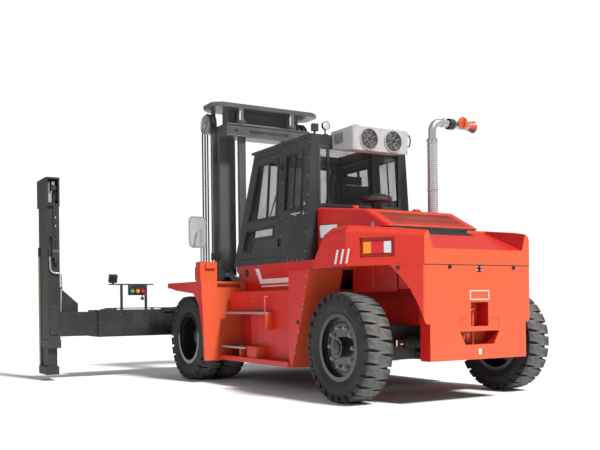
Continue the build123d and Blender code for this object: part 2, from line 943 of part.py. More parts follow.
mirror_x = 1400
mirror_y = front_axle_y + 370
with BuildPart() as mirrors:
    for side, sign in SIDES:
        bar_z(14, sign * mirror_x, front_axle_y + 510, (1555, 1974))
        bar_y(12, sign * mirror_x, (mirror_y - 10, front_axle_y + 510), 1960)
        block(
            span(sign, mirror_x - 200, mirror_x + 200),
            (mirror_y - 25, mirror_y),
            (1865, 2075),
        )
finish(mirrors, "mirrors")

with BuildPart() as cab_base:
    side_profile(
        [
            (base_front_y + 120, tank_top_z),
            (base_front_y + 120, 1380),
            (base_front_y, 1440),
            (base_front_y, cab_floor_z),
            (cab_rear_y - 10, cab_floor_z),
            (cab_rear_y + 240, cab_floor_z),
            (tank_rear_y + 420, seam_z + 10),
            (tank_rear_y + 420, seam_z),
            (tank_rear_y, tank_top_z),
        ],
        (-base_x, base_x),
    )
    block((-540, 540), (base_front_y + 60, cab_rear_y - 40), (tank_top_z - 1, 1480), mode=Mode.SUBTRACT)
    block((-540, 540), (cab_rear_y - 45, tank_rear_y + 430), (tank_top_z - 1, cab_floor_z), mode=Mode.SUBTRACT)
    block(
        (-base_x - 1, base_x + 1),
        (base_front_y - 5, front_cross_rear_y + 70),
        (tank_top_z - 1, 1400),
        mode=Mode.SUBTRACT,
    )
finish(cab_base, "cab_base")

# Cab


def cab_form(inset):
    """The cab's outer form, or that form drawn in by a wall."""
    lean = (cab_half_bottom - cab_half_top) / (cab_roof_z - cab_floor_z)
    low, high = cab_floor_z + inset, cab_roof_z - inset
    slope = (cab_front_top_y - cab_front_bottom_y) / (cab_roof_z - cab_floor_z)
    with BuildPart() as form:
        side_profile(
            [
                (cab_front_bottom_y + slope * inset + inset, low),
                (cab_front_top_y - slope * inset + inset, high),
                (cab_rear_y - inset, high),
                (cab_rear_y - inset, low),
            ],
            (-1000, 1000),
        )
        cross_profile(
            [
                (cab_half_bottom - inset + lean, cab_floor_z - 1),
                (cab_half_top - inset, cab_roof_z),
                (-cab_half_top + inset, cab_roof_z),
                (-cab_half_bottom + inset - lean, cab_floor_z - 1),
            ],
            (cab_front_bottom_y - 10, cab_rear_y + 10),
            mode=Mode.INTERSECT,
        )
    return form.part


cab_slope = (cab_front_top_y - cab_front_bottom_y) / (cab_roof_z - cab_floor_z)


def pillar_y(z):
    """Front edge of the cab's side at a height."""
    return cab_front_bottom_y + cab_slope * (z - cab_floor_z)


door_front = 90
roof_lip = 26


def door_outline(gap):
    """The door's outline in side view, drawn in by a gap."""
    return [
        (pillar_y(door_sill_z) + door_front + gap, door_sill_z + gap),
        (pillar_y(door_top_z) + door_front + gap, door_top_z - gap),
        (door_rear_y - gap, door_top_z - gap),
        (door_rear_y - gap, door_sill_z + gap),
    ]


cab_lean = atan2(cab_half_bottom - cab_half_top, cab_roof_z - cab_floor_z)
door_hinge_y = door_rear_y - door_gap / 2
door_hinge_off = 16
door_hinge_z = (1760, 2700)
door_knuckle = (10, 44)
door_pin_radius = 6


def door_hinge(sign, z):
    """A place on the door's leaning hinge line, x outwards."""
    x = cab_half_bottom - (z - cab_floor_z) * tan(cab_lean) + door_hinge_off
    return Location((sign * x, door_hinge_y, z), (0, -sign * degrees(cab_lean), 0))


def door_leaf(sign, toward, low):
    """One leaf and its barrel, from low upwards; toward is 1 on the cab, -1 on the door."""
    radius, length = door_knuckle
    for z in door_hinge_z:
        with Locations(door_hinge(sign, z)):
            with Locations((0, 0, low + length / 2)):
                Cylinder(radius, length)
            with Locations((-sign * (door_hinge_off + 3) / 2, toward * 7, low + length / 2)):
                Box(door_hinge_off + 3, 6, length)
            with Locations((-sign * door_hinge_off, toward * 26, low + length / 2)):
                Box(10, 44, length)


upper_window = [
    (pillar_y(2080) + door_front + 80, 2080),
    (pillar_y(2820) + door_front + 80, 2820),
    (door_rear_y - 90, 2820),
    (door_rear_y - 90, 2080),
]
lower_window = [
    (pillar_y(1680) + door_front + 80, 1680),
    (pillar_y(1980) + door_front + 80, 1980),
    (door_rear_y - 140, 1980),
    (door_rear_y - 140, 1840),
    (pillar_y(1840) + door_front + 360, 1840),
    (pillar_y(1680) + door_front + 300, 1680),
]
side_window = [
    (door_rear_y + 80, 2120),
    (door_rear_y + 80, 2830),
    (cab_rear_y - 170, 2830),
    (cab_rear_y - 170, 2120),
]
outer_cab = cab_form(0)
inner_cab = cab_form(cab_wall)
front_window_z = (1640, 2880)
with BuildPart() as cab_shell:
    add(outer_cab)
    add(inner_cab, mode=Mode.SUBTRACT)
    side_profile(door_outline(0), (-1000, 1000), mode=Mode.SUBTRACT)
    side_profile(side_window, (-1000, 1000), mode=Mode.SUBTRACT)
    block((-560, 560), (cab_front_bottom_y - 20, cab_front_top_y + 120), front_window_z, mode=Mode.SUBTRACT)
    block((-600, -260), (cab_rear_y - 80, cab_rear_y + 10), (2160, 2860), mode=Mode.SUBTRACT)
    block((-200, 600), (cab_rear_y - 80, cab_rear_y + 10), (2160, 2860), mode=Mode.SUBTRACT)
    block((-500, 500), (cab_front_top_y + 200, cab_rear_y - 250), (cab_roof_z - 80, cab_roof_z + 10), mode=Mode.SUBTRACT)
    with BuildPart(mode=Mode.PRIVATE) as gutter:
        block(
            (-cab_half_top - roof_lip, cab_half_top + roof_lip),
            (cab_front_top_y - 40, cab_rear_y),
            (cab_roof_z - 34, cab_roof_z),
        )
        block(
            (-cab_half_top + 30, cab_half_top - 30),
            (cab_front_top_y + 60, cab_rear_y - 30),
            (cab_roof_z - 35, cab_roof_z + 1),
            mode=Mode.SUBTRACT,
        )
    add(gutter.part)
    for side, sign in SIDES:
        door_leaf(sign, 1, 1)
        for z in door_hinge_z:
            with Locations(door_hinge(sign, z)):
                Cylinder(door_pin_radius + pin_clearance, 2 * door_knuckle[1] + 4, mode=Mode.SUBTRACT)
finish(cab_shell, "cab_shell")

glass_form = cab_form((cab_wall - glass) / 2)
glass_inner = cab_form((cab_wall + glass) / 2)
with BuildPart() as cab_glass:
    add(glass_form)
    add(glass_inner, mode=Mode.SUBTRACT)
    with BuildPart(mode=Mode.PRIVATE) as panes:
        side_profile(side_window, (-1000, 1000))
        block((-560, 560), (cab_front_bottom_y - 20, cab_front_top_y + 120), front_window_z)
        block((-600, -260), (cab_rear_y - 80, cab_rear_y + 10), (2160, 2860))
        block((-200, 600), (cab_rear_y - 80, cab_rear_y + 10), (2160, 2860))
        block((-500, 500), (cab_front_top_y + 200, cab_rear_y - 250), (cab_roof_z - 80, cab_roof_z + 10))
    add(panes.part, mode=Mode.INTERSECT)
finish(cab_glass, "cab_glass")

for side, sign in SIDES:
    side_span = span(sign, 400, 1000)
    with BuildPart() as door:
        add(outer_cab)
        add(inner_cab, mode=Mode.SUBTRACT)
        side_profile(door_outline(door_gap), side_span, mode=Mode.INTERSECT)
        side_profile(upper_window, (-1000, 1000), mode=Mode.SUBTRACT)
        side_profile(lower_window, (-1000, 1000), mode=Mode.SUBTRACT)
        door_leaf(sign, -1, -door_knuckle[1])
        for z in door_hinge_z:
            with Locations(door_hinge(sign, z)):
                Cylinder(door_pin_radius, 2 * door_knuckle[1])
    finish(door, f"door_{side}")

    with BuildPart() as door_glass:
        add(glass_form)
        add(glass_inner, mode=Mode.SUBTRACT)
        with BuildPart(mode=Mode.PRIVATE) as door_panes:
            side_profile(upper_window, side_span)
            side_profile(lower_window, side_span)
        add(door_panes.part, mode=Mode.INTERSECT)
    finish(door_glass, f"door_glass_{side}")

cabin_floor_z = cab_floor_z + cab_wall
with BuildPart() as seat:
    block((-260, 260), (cab_rear_y - 720, cab_rear_y - 240), (cabin_floor_z, cabin_floor_z + 300))
    block((-250, 250), (cab_rear_y - 720, cab_rear_y - 220), (cabin_floor_z + 300, cabin_floor_z + 430))
    block((-240, 240), (cab_rear_y - 220, cab_rear_y - 100), (cabin_floor_z + 330, cabin_floor_z + 1000))
finish(seat, "seat")

with BuildPart() as console:
    block((-300, 300), (cab_front_bottom_y + 160, cab_front_bottom_y + 330), (cabin_floor_z, cabin_floor_z + 280))
    side_profile(
        [
            (cab_front_bottom_y + 260, cabin_floor_z + 280),
            (cab_front_bottom_y + 330, cabin_floor_z + 280),
            (cab_front_bottom_y + 560, cabin_floor_z + 640),
            (cab_front_bottom_y + 500, cabin_floor_z + 670),
        ],
        (-40, 40),
    )
    with Locations(Location((0, cab_front_bottom_y + 545, cabin_floor_z + 680), (32, 0, 0))):
        Cylinder(200, 28)
finish(console, "steering_console")

ac_rear_y = cab_rear_y + 440
fan_x = (181, -166)
fan_radius = 118
fan_z = 2900
fan_blades = 6
with BuildPart() as ac_unit:
    side_profile(
        [
            (cab_rear_y - 20, cab_roof_z),
            (cab_rear_y, cab_roof_z),
            (cab_rear_y, 2830),
            (ac_rear_y, 2765),
            (ac_rear_y, 3040),
            (cab_rear_y - 20, 3040),
        ],
        (-400, 400),
    )
    fillet(ac_unit.edges().filter_by(Axis.Z).filter_by_position(Axis.Y, ac_rear_y - 1, ac_rear_y + 1), 30)
    for x in fan_x:
        bar_y(fan_radius + 10, x, (ac_rear_y - 1, ac_rear_y + 14), fan_z)
        bar_y(fan_radius, x, (ac_rear_y - 60, ac_rear_y + 15), fan_z, mode=Mode.SUBTRACT)
        bar_y(34, x, (ac_rear_y - 61, ac_rear_y + 8), fan_z)
        for n in range(fan_blades):
            with Locations(Location((x, ac_rear_y - 30, fan_z), (0, n * 360 / fan_blades, 0))):
                with Locations((fan_radius / 2 + 8, 0, 0)):
                    Box(fan_radius - 20, 10, 38, rotation=(35, 0, 0))
finish(ac_unit, "ac_unit")

# Exhaust

stack_x = -780
stack_y = front_axle_y + 2520
stack_radius = 58
stack_top_z = 2985
elbow_z = 3200
elbow_turn = 110
pipe_radius = 46
stack_bracket_z = (1690, 1980)
with BuildPart() as exhaust_stack:
    bar_z(stack_radius, stack_x, stack_y, (hood_bottom_z, stack_top_z))
    for z in stack_bracket_z:
        block((stack_x, -hood_x), (stack_y - 35, stack_y + 35), (z, z + 30))
    bar_z(pipe_radius, stack_x, stack_y, (stack_top_z - 1, elbow_z - elbow_turn))
    with BuildSketch(Plane.XY.offset(elbow_z - elbow_turn)) as pipe_end:
        with Locations((stack_x, stack_y)):
            Circle(pipe_radius)
    elbow_axis = Axis((stack_x - elbow_turn, stack_y, elbow_z - elbow_turn), (0, -1, 0))
    revolve(pipe_end.sketch, axis=elbow_axis, revolution_arc=90)
    bar_x(pipe_radius, (stack_x - 600, stack_x - elbow_turn), stack_y, elbow_z)
    bar_x(stack_radius + 6, (stack_x - 330, stack_x - 250), stack_y, elbow_z)
    bar_y(26, stack_x - 420, (stack_y + 30, stack_y + 80), elbow_z + 10)
    bar_y(72, stack_x - 420, (stack_y + 78, stack_y + 92), elbow_z + 10)
    with Locations(Location((stack_x - 625, stack_y, elbow_z), (0, -90, 0))):
        Cone(pipe_radius, stack_radius + 14, 90)
    bar_z(stack_radius + 8, stack_x, stack_y, (stack_top_z - 12, stack_top_z + 6))
finish(exhaust_stack, "exhaust_stack")

# Mast


def channel(sign, inner, outer, z):
    """An upright channel whose web is outside and whose flanges point in."""
    front_y = mast_rear_y - mast_depth
    block(span(sign, outer - channel_web, outer), (front_y, mast_rear_y), z)
    for low in (front_y, mast_rear_y - channel_flange):
        block(span(sign, inner, outer), (low, low + channel_flange), z)


with BuildPart() as mast_outer:
    for side, sign in SIDES:
        channel(sign, outer_in_x, outer_out_x, (mast_foot_z, outer_top_z))
        side_profile(
            [
                (mast_rear_y - 5, tilt_z + 130),
                (tilt_y + 60, tilt_z + 60),
                (tilt_y + 60, tilt_z - 60),
                (mast_rear_y - 5, tilt_z - 160),
            ],
            span(sign, *lug_x),
        )
        bar_x(
            40 + pin_clearance,
            span(sign, lug_x[0] - 1, lug_x[1] + 1),
            tilt_y,
            tilt_z,
            mode=Mode.SUBTRACT,
        )
    crossbar_z = (outer_top_z - crossbar_height, outer_top_z)
    block((-outer_out_x, outer_out_x), (mast_rear_y, lift_y + 75), crossbar_z)
    block((-outer_out_x, outer_out_x), (mast_rear_y, mast_rear_y + 60), (300, 440))
    block((-520, 520), (mast_rear_y, lift_y + 75), (280, 330))
    for side, sign in SIDES:
        bar_z(barrel_radius, sign * lift_x, lift_y, crossbar_z, mode=Mode.SUBTRACT)
        for inner in (lug_x[0] - ear_gap - ear_thick, lug_x[1] + ear_gap):
            side_profile(
                [
                    (mast_rear_y - 5, mast_eye_z + 110),
                    (mast_eye_y + 45, mast_eye_z + 45),
                    (mast_eye_y + 45, mast_eye_z - 45),
                    (mast_rear_y - 5, mast_eye_z - 110),
                ],
                span(sign, inner, inner + ear_thick),
            )
finish(mast_outer, "mast_outer")

with BuildPart() as lift_cylinders:
    for side, sign in SIDES:
        bar_z(barrel_radius, sign * lift_x, lift_y, (330, outer_top_z + 20))
        bar_z(
            rod_radius + pin_clearance,
            sign * lift_x,
            lift_y,
            (360, outer_top_z + 21),
            mode=Mode.SUBTRACT,
        )
finish(lift_cylinders, "lift_cylinders")

with BuildPart() as lift_rods:
    for side, sign in SIDES:
        bar_z(rod_radius, sign * lift_x, lift_y, (370, inner_top_z))
finish(lift_rods, "lift_rods")

inner_foot_z = mast_foot_z + 40
stage_gap = 6
head_front_edge_y = mast_rear_y - mast_depth - 60
with BuildPart() as mast_inner:
    for side, sign in SIDES:
        block(
            span(sign, inner_out_x - channel_web, inner_out_x),
            (mast_rear_y - mast_depth, mast_rear_y - stage_gap),
            (inner_foot_z, inner_top_z),
        )
        for low in (mast_rear_y - mast_depth, mast_rear_y - stage_gap - channel_flange):
            block(
                span(sign, inner_in_x, inner_out_x),
                (low, low + channel_flange),
                (inner_foot_z, inner_top_z),
            )
    chamfer_x = 120
    plan_profile(
        [
            (-865, lift_y - 20),
            (-865 + chamfer_x, lift_y + 75),
            (865 - chamfer_x, lift_y + 75),
            (865, lift_y - 20),
            (865, head_front_edge_y + chamfer_x),
            (865 - chamfer_x, head_front_edge_y),
            (-865 + chamfer_x, head_front_edge_y),
            (-865, head_front_edge_y + chamfer_x),
        ],
        (inner_top_z, inner_top_z + head_plate),
    )
    block((-inner_in_x, inner_in_x), (mast_rear_y - 60, mast_rear_y - stage_gap), (inner_foot_z + 60, inner_foot_z + 200))
    block((20 - inner_in_x, inner_in_x - 20), (mast_rear_y - 60, mast_rear_y - stage_gap), (inner_top_z - 160, inner_top_z))
    for side, sign in SIDES:
        block(span(sign, 684, 700), (sheave_y - 60, sheave_y + 60), (sheave_z - 24, inner_top_z))
finish(mast_inner, "mast_inner")

with BuildPart() as mast_sheaves:
    for side, sign in SIDES:
        bar_x(30, span(sign, 700, 830), sheave_y, sheave_z)
        for centre in strand_x:
            bar_x(sheave_radius, span(sign, centre - 15, centre + 15), sheave_y, sheave_z)
            bar_x(sheave_radius - 12, span(sign, centre - 16, centre - 15), sheave_y, sheave_z)
finish(mast_sheaves, "mast_sheaves")

with BuildPart() as front_strands:
    for side, sign in SIDES:
        for centre in strand_x:
            bar_z(11, sign * centre, sheave_y - sheave_radius - 11.3, (strand_foot_z, sheave_z))
        block(
            span(sign, strand_x[0] - 12, strand_x[-1] + 12),
            (sheave_y - sheave_radius - 30, sheave_y - sheave_radius + 6),
            (strand_foot_z, strand_foot_z + 60),
        )
finish(front_strands, "front_strands")

with BuildPart() as rear_strands:
    for side, sign in SIDES:
        block(
            span(sign, outer_out_x, strand_x[-1] + 20),
            (sheave_y + sheave_radius + 1, sheave_y + sheave_radius + 36),
            (1640, 1740),
        )
        block(
            span(sign, strand_x[1] - 22, strand_x[1] + 22),
            (sheave_y + sheave_radius + 2, sheave_y + sheave_radius + 20),
            (1739, sheave_z),
        )
finish(rear_strands, "rear_strands")

# Carriage

sleeve_rear_y = spreader_front_y + 2 * bay_depth
roller_gap = 0.4
with BuildPart() as carriage:
    for side, sign in SIDES:
        block(
            span(sign, 330, inner_in_x - 12),
            (sleeve_rear_y, mast_rear_y - 75),
            (480, 1385),
        )
        for z in (620, 1320):
            bar_x(
                (mast_depth - stage_gap - 2 * channel_flange) / 2 - roller_gap,
                span(sign, inner_in_x - 12, inner_out_x - channel_web - 2),
                mast_rear_y - (mast_depth + stage_gap) / 2,
                z,
            )
    block((-1000, 1000), (sleeve_rear_y, sleeve_rear_y + 60), (520, 640))
    block((-1000, 1000), (sleeve_rear_y, sleeve_rear_y + 60), (1000, 1120))
    for side, sign in SIDES:
        block(
            span(sign, strand_x[0] - 30, strand_x[-1] + 30),
            (sleeve_rear_y + 59, sheave_y - sheave_radius + 10),
            (1090, 1120),
        )
finish(carriage, "carriage")

# Spreader

beam_top_z = beam_bottom_z + beam_height
bay_front = (spreader_front_y, spreader_front_y + bay_depth)
bay_rear = (spreader_front_y + bay_depth, sleeve_rear_y)
slide_gap = 6
top_pads_x = (-2150, -1700, -1250, 1250, 2150)
pad_length = 140
pad_thick = slide_gap - 0.3
with BuildPart() as spreader_frame:
    block((-sleeve_half, sleeve_half), (spreader_front_y, sleeve_rear_y), (beam_bottom_z, beam_top_z))
    for bay in (bay_front, bay_rear):
        block(
            (-sleeve_half - 1, sleeve_half + 1),
            (bay[0] + beam_wall, bay[1] - beam_wall),
            (beam_bottom_z + beam_wall, beam_top_z - beam_wall),
            mode=Mode.SUBTRACT,
        )
        for x in (-sleeve_half, sleeve_half - pad_length):
            for z in (beam_bottom_z + beam_wall, beam_top_z - beam_wall - pad_thick):
                block(
                    (x, x + pad_length),
                    (bay[0] + beam_wall, bay[1] - beam_wall),
                    (z, z + pad_thick),
                )
    for side, sign in SIDES:
        block(
            span(sign, 1200, 1350),
            (sleeve_rear_y - beam_wall - 2, sleeve_rear_y),
            (beam_bottom_z + 34, beam_top_z - 34),
            mode=Mode.SUBTRACT,
        )
        block(span(sign, sleeve_half - 40, sleeve_half), (sleeve_rear_y - 2, sleeve_rear_y + 12), (beam_bottom_z, beam_top_z))
    for x in top_pads_x:
        block((x - 70, x + 70), (bay_rear[0] + 30, bay_rear[1] - 30), (beam_top_z - 1, beam_top_z + 14))
finish(spreader_frame, "spreader_frame")

beam_tail = 2050
head_open_y = head_rear_y - 240
rail_bar_z = (98, 1690)
collar_z = (440, 550)
for side, sign in SIDES:
    bay = bay_rear if sign > 0 else bay_front
    beam_y = (bay[0] + beam_wall + slide_gap, bay[1] - beam_wall - slide_gap)
    beam_z = (beam_bottom_z + beam_wall + slide_gap, beam_top_z - beam_wall - slide_gap)
    beam_x = tuple(sorted((-sign * beam_tail, sign * post_in_x)))
    with BuildPart() as beam:
        block(beam_x, beam_y, beam_z)
        block(
            (beam_x[0] - 1, beam_x[1] + 1),
            (beam_y[0] + beam_wall, beam_y[1] - beam_wall),
            (beam_z[0] + beam_wall, beam_z[1] - beam_wall),
            mode=Mode.SUBTRACT,
        )
        block(span(sign, post_in_x, post_out_x), (head_front_y, post_rear_y), (440, head_bottom_z))
        block(span(sign, post_in_x + 30, post_out_x - 10), (head_front_y + 20, post_rear_y - 60), (190, 440))
        block(span(sign, post_in_x + 10, head_out_x), (head_front_y, post_rear_y - 40), (foot_bottom_z, 190))
        block(span(sign, post_in_x, head_out_x), (head_front_y, head_rear_y), (head_bottom_z, head_top_z))
        block(
            span(sign, post_in_x + 22, head_out_x - 22),
            (head_open_y, head_rear_y + 1),
            (head_bottom_z + 24, head_top_z - 26),
            mode=Mode.SUBTRACT,
        )
        block(span(sign, post_in_x + 22, post_in_x + 60), (head_open_y - 1, head_rear_y - 60), (2440, 2560))
        bar_z(24, sign * (post_in_x + 66), head_rear_y - 70, (head_bottom_z + 23, 2600))
        block(span(sign, post_in_x - 8, post_out_x + 8), (head_front_y - 6, post_rear_y + 8), collar_z)
        block(span(sign, post_out_x - 1, head_out_x - 6), (head_front_y + 8, head_front_y + 58), rail_bar_z)
        block(
            span(sign, head_out_x - 30, head_out_x - 4),
            (head_front_y + 2, head_front_y + 64),
            (rail_bar_z[1], rail_bar_z[1] + 130),
        )
        side_profile(
            [
                (post_rear_y - 1, 1010),
                (post_rear_y + 12, 1010),
                (post_rear_y + 12, 620),
                (post_rear_y - 1, 620),
            ],
            span(sign, post_in_x + 20, post_out_x - 20),
        )
        cross_profile(
            [
                (sign * (post_in_x + 5), beam_z[1] - 2),
                (sign * (post_in_x + 5), 1245),
                (sign * (post_in_x - 60), 1235),
                (sign * (post_in_x - 280), 1040),
                (sign * (post_in_x - 280), beam_z[1] - 2),
            ],
            ((beam_y[0] + beam_y[1]) / 2 - 12, (beam_y[0] + beam_y[1]) / 2 + 12),
        )
        bar_y(
            36,
            sign * (head_out_x - 104),
            (head_front_y - 1, head_rear_y + 1),
            2600,
            mode=Mode.SUBTRACT,
        )
    finish(beam, f"beam_{side}")

    with BuildPart() as twistlock:
        bar_y(36 - pin_clearance, sign * (head_out_x - 104), (head_front_y - 8, head_rear_y), 2600)
        block(
            (sign * (head_out_x - 104) - 52, sign * (head_out_x - 104) + 52),
            (spreader_front_y, head_front_y - 8),
            (2600 - 27, 2600 + 27),
        )
    finish(twistlock, f"twistlock_{side}")

signal_x = sleeve_half - 575
work_light_x = signal_x + 345
with BuildPart() as signal_bracket:
    for x in (signal_x - 135, signal_x + 225):
        block((x - 15, x + 15), (sleeve_rear_y - 60, sleeve_rear_y - 30), (beam_top_z, 1310))
    block((signal_x - 245, work_light_x + 60), (sleeve_rear_y - 60, sleeve_rear_y - 30), (1295, 1312))
    block((signal_x - 120, signal_x + 120), (sleeve_rear_y - 75, sleeve_rear_y - 20), (1150, 1296))
    for x in (signal_x - 80, signal_x, signal_x + 80):
        bar_y(36, x, (sleeve_rear_y - 21, sleeve_rear_y + 6), 1210)
    with Locations(Location((work_light_x, sleeve_rear_y - 50, 1385), (-20, 0, 0))):
        Box(110, 60, 110)
    block((work_light_x - 15, work_light_x + 15), (sleeve_rear_y - 60, sleeve_rear_y - 35), (1312, 1350))
finish(signal_bracket, "signal_bracket")

# Tilt cylinders

tilt_angle = atan2(mast_eye_z - tilt_cylinder_z, tilt_cylinder_y - mast_eye_y)
tilt_length = sqrt((mast_eye_z - tilt_cylinder_z) ** 2 + (tilt_cylinder_y - mast_eye_y) ** 2)
tilt_barrel_length = tilt_length * 0.62


def along_tilt(distance):
    """A place on the tilt cylinder's line, from its barrel's pin."""
    return (
        tilt_cylinder_y - distance * cos(tilt_angle),
        tilt_cylinder_z + distance * sin(tilt_angle),
    )


with BuildPart() as tilt_barrels:
    for side, sign in SIDES:
        y, z = along_tilt(tilt_barrel_length / 2 + 20)
        with Locations(Location((sign * tilt_x, y, z), (90 - degrees(tilt_angle), 0, 0))):
            Cylinder(46, tilt_barrel_length - 40)
        bar_x(44, span(sign, *lug_x), tilt_cylinder_y, tilt_cylinder_z)
        bar_x(
            32 + pin_clearance,
            span(sign, lug_x[0] - 1, lug_x[1] + 1),
            tilt_cylinder_y,
            tilt_cylinder_z,
            mode=Mode.SUBTRACT,
        )
        y, z = along_tilt(tilt_barrel_length / 2 + 60)
        with Locations(Location((sign * tilt_x, y, z), (90 - degrees(tilt_angle), 0, 0))):
            Cylinder(26 + pin_clearance, tilt_barrel_length - 20, mode=Mode.SUBTRACT)
finish(tilt_barrels, "tilt_barrels")

with BuildPart() as tilt_rods:
    for side, sign in SIDES:
        rod_length = tilt_length - 176
        y, z = along_tilt(tilt_length - rod_length / 2)
        with Locations(Location((sign * tilt_x, y, z), (90 - degrees(tilt_angle), 0, 0))):
            Cylinder(26, rod_length)
        bar_x(38, span(sign, *lug_x), mast_eye_y, mast_eye_z)
finish(tilt_rods, "tilt_rods")

# Lamps

with BuildPart() as tail_lamps:
    for side, sign in SIDES:
        with Locations(lamp_place(sign)):
            with Locations((-sign * (pan_depth - sheet - lamp_depth / 2), 0, 0)):
                Box(lamp_depth, *lamp_size)
finish(tail_lamps, "tail_lamps")

with BuildPart() as roof_lamps:
    bar_z(60, 150, cab_rear_y - 150, (cab_roof_z, 3090))
    for side, sign in SIDES:
        block(
            span(sign, cab_half_top - 110, cab_half_top - 10),
            (cab_rear_y - 70, cab_rear_y + 20),
            (cab_roof_z, cab_roof_z + 110),
        )
finish(roof_lamps, "roof_lamps")

with BuildPart() as head_lamps:
    for side, sign in SIDES:
        block(
            span(sign, 1230, 1430),
            (front_axle_y + 340, front_axle_y + 440),
            (1320, 1500),
        )
finish(head_lamps, "head_lamps")
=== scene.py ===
"""The looks of an empty container handler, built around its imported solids.

Everything is in metres in the row frame: -Y is the front, +X the machine's left, z = 0 the ground.
"""

import math

import bmesh
import bpy
from mathutils import Matrix, Vector


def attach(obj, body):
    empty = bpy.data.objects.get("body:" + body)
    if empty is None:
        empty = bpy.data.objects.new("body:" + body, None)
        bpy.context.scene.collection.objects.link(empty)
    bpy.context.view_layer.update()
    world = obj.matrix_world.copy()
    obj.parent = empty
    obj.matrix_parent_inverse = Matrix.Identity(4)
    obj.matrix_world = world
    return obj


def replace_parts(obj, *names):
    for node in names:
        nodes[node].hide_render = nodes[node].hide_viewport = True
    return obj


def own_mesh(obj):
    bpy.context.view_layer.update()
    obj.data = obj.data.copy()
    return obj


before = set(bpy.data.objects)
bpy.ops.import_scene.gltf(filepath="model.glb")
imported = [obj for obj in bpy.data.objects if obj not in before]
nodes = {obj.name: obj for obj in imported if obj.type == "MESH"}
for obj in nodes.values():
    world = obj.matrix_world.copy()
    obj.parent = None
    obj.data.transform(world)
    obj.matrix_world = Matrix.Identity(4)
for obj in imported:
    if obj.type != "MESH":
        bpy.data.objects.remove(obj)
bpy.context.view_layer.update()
scene = bpy.context.scene
SIDES = (("left", 1), ("right", -1))

# Stage
# A pale concrete floor, plain and matt, wide enough to fill every view, under an even white sky with
# one soft key high behind the camera and two weaker lamps for the other sides.

floor_half = 60.0
floor_mesh = bpy.data.meshes.new("floor")
floor_mesh.from_pydata(
    [(x, y, -0.002) for x, y in ((-1, -1), (1, -1), (1, 1), (-1, 1))], [], [(0, 1, 2, 3)]
)
floor_mesh.transform(Matrix.Diagonal((floor_half, floor_half, 1.0, 1.0)))
floor = bpy.data.objects.new("floor", floor_mesh)
scene.collection.objects.link(floor)
floor_finish = bpy.data.materials.new("floor_pale")
floor_finish.use_nodes = True
floor_tree = floor_finish.node_tree
floor_place = floor_tree.nodes.new("ShaderNodeTexCoord")
floor_cloud = floor_tree.nodes.new("ShaderNodeTexNoise")
floor_cloud.inputs["Scale"].default_value = 0.4
floor_tone = floor_tree.nodes.new("ShaderNodeValToRGB")
floor_tone.color_ramp.elements[0].color = (0.95, 0.95, 0.95, 1)
floor_tone.color_ramp.elements[1].color = (0.98, 0.98, 0.98, 1)
floor_tree.links.new(floor_place.outputs["Object"], floor_cloud.inputs["Vector"])
floor_tree.links.new(floor_cloud.outputs["Fac"], floor_tone.inputs["Fac"])
floor_tree.links.new(floor_tone.outputs["Color"], floor_tree.nodes["Principled BSDF"].inputs["Base Color"])
floor_tree.nodes["Principled BSDF"].inputs["Roughness"].default_value = 0.9
floor_mesh.materials.append(floor_finish)

world = bpy.data.worlds.new("studio")
scene.world = world
world.use_nodes = True
sky = world.node_tree
backdrop = sky.nodes["Background"]
backdrop.inputs["Color"].default_value = (1.0, 1.0, 1.0, 1)
backdrop.inputs["Strength"].default_value = 1.02
soft = sky.nodes.new("ShaderNodeBackground")
soft.inputs["Color"].default_value = (0.93, 0.96, 1.0, 1)
soft.inputs["Strength"].default_value = 0.19
seen_by = sky.nodes.new("ShaderNodeLightPath")
either = sky.nodes.new("ShaderNodeMixShader")
glint = sky.nodes.new("ShaderNodeMath")
glint.operation = "MULTIPLY_ADD"
glint.inputs[1].default_value = 0.12
sky.links.new(seen_by.outputs["Is Glossy Ray"], glint.inputs[0])
sky.links.new(seen_by.outputs["Is Camera Ray"], glint.inputs[2])
sky.links.new(glint.outputs[0], either.inputs[0])
sky.links.new(soft.outputs[0], either.inputs[1])
sky.links.new(backdrop.outputs[0], either.inputs[2])
sky.links.new(either.outputs[0], sky.nodes["World Output"].inputs["Surface"])
scene.view_settings.view_transform = "Standard"

sun = bpy.data.lights.new("key", "SUN")
sun.energy = 4.2
sun.angle = math.radians(9)
key = bpy.data.objects.new("key", sun)
scene.collection.objects.link(key)
key.rotation_euler = Vector((0.17, -0.62, -0.77)).to_track_quat("-Z", "Y").to_euler()

for name, place, aim, size, power in (
    ("side", (13.0, 3.0, 7.0), (0.0, 0.0, 1.2), 6.0, 230),
    ("front", (-6.0, -11.0, 7.0), (0.0, -1.0, 1.5), 6.0, 350),
):
    lamp = bpy.data.lights.new(name, "AREA")
    lamp.size = size
    lamp.energy = power
    light = bpy.data.objects.new(name, lamp)
    scene.collection.objects.link(light)
    light.location = place
    light.rotation_euler = (Vector(aim) - Vector(place)).to_track_quat("-Z", "Y").to_euler()

# Camera
# Level, behind the machine's left rear corner at a person's chest, with the picture shifted up.

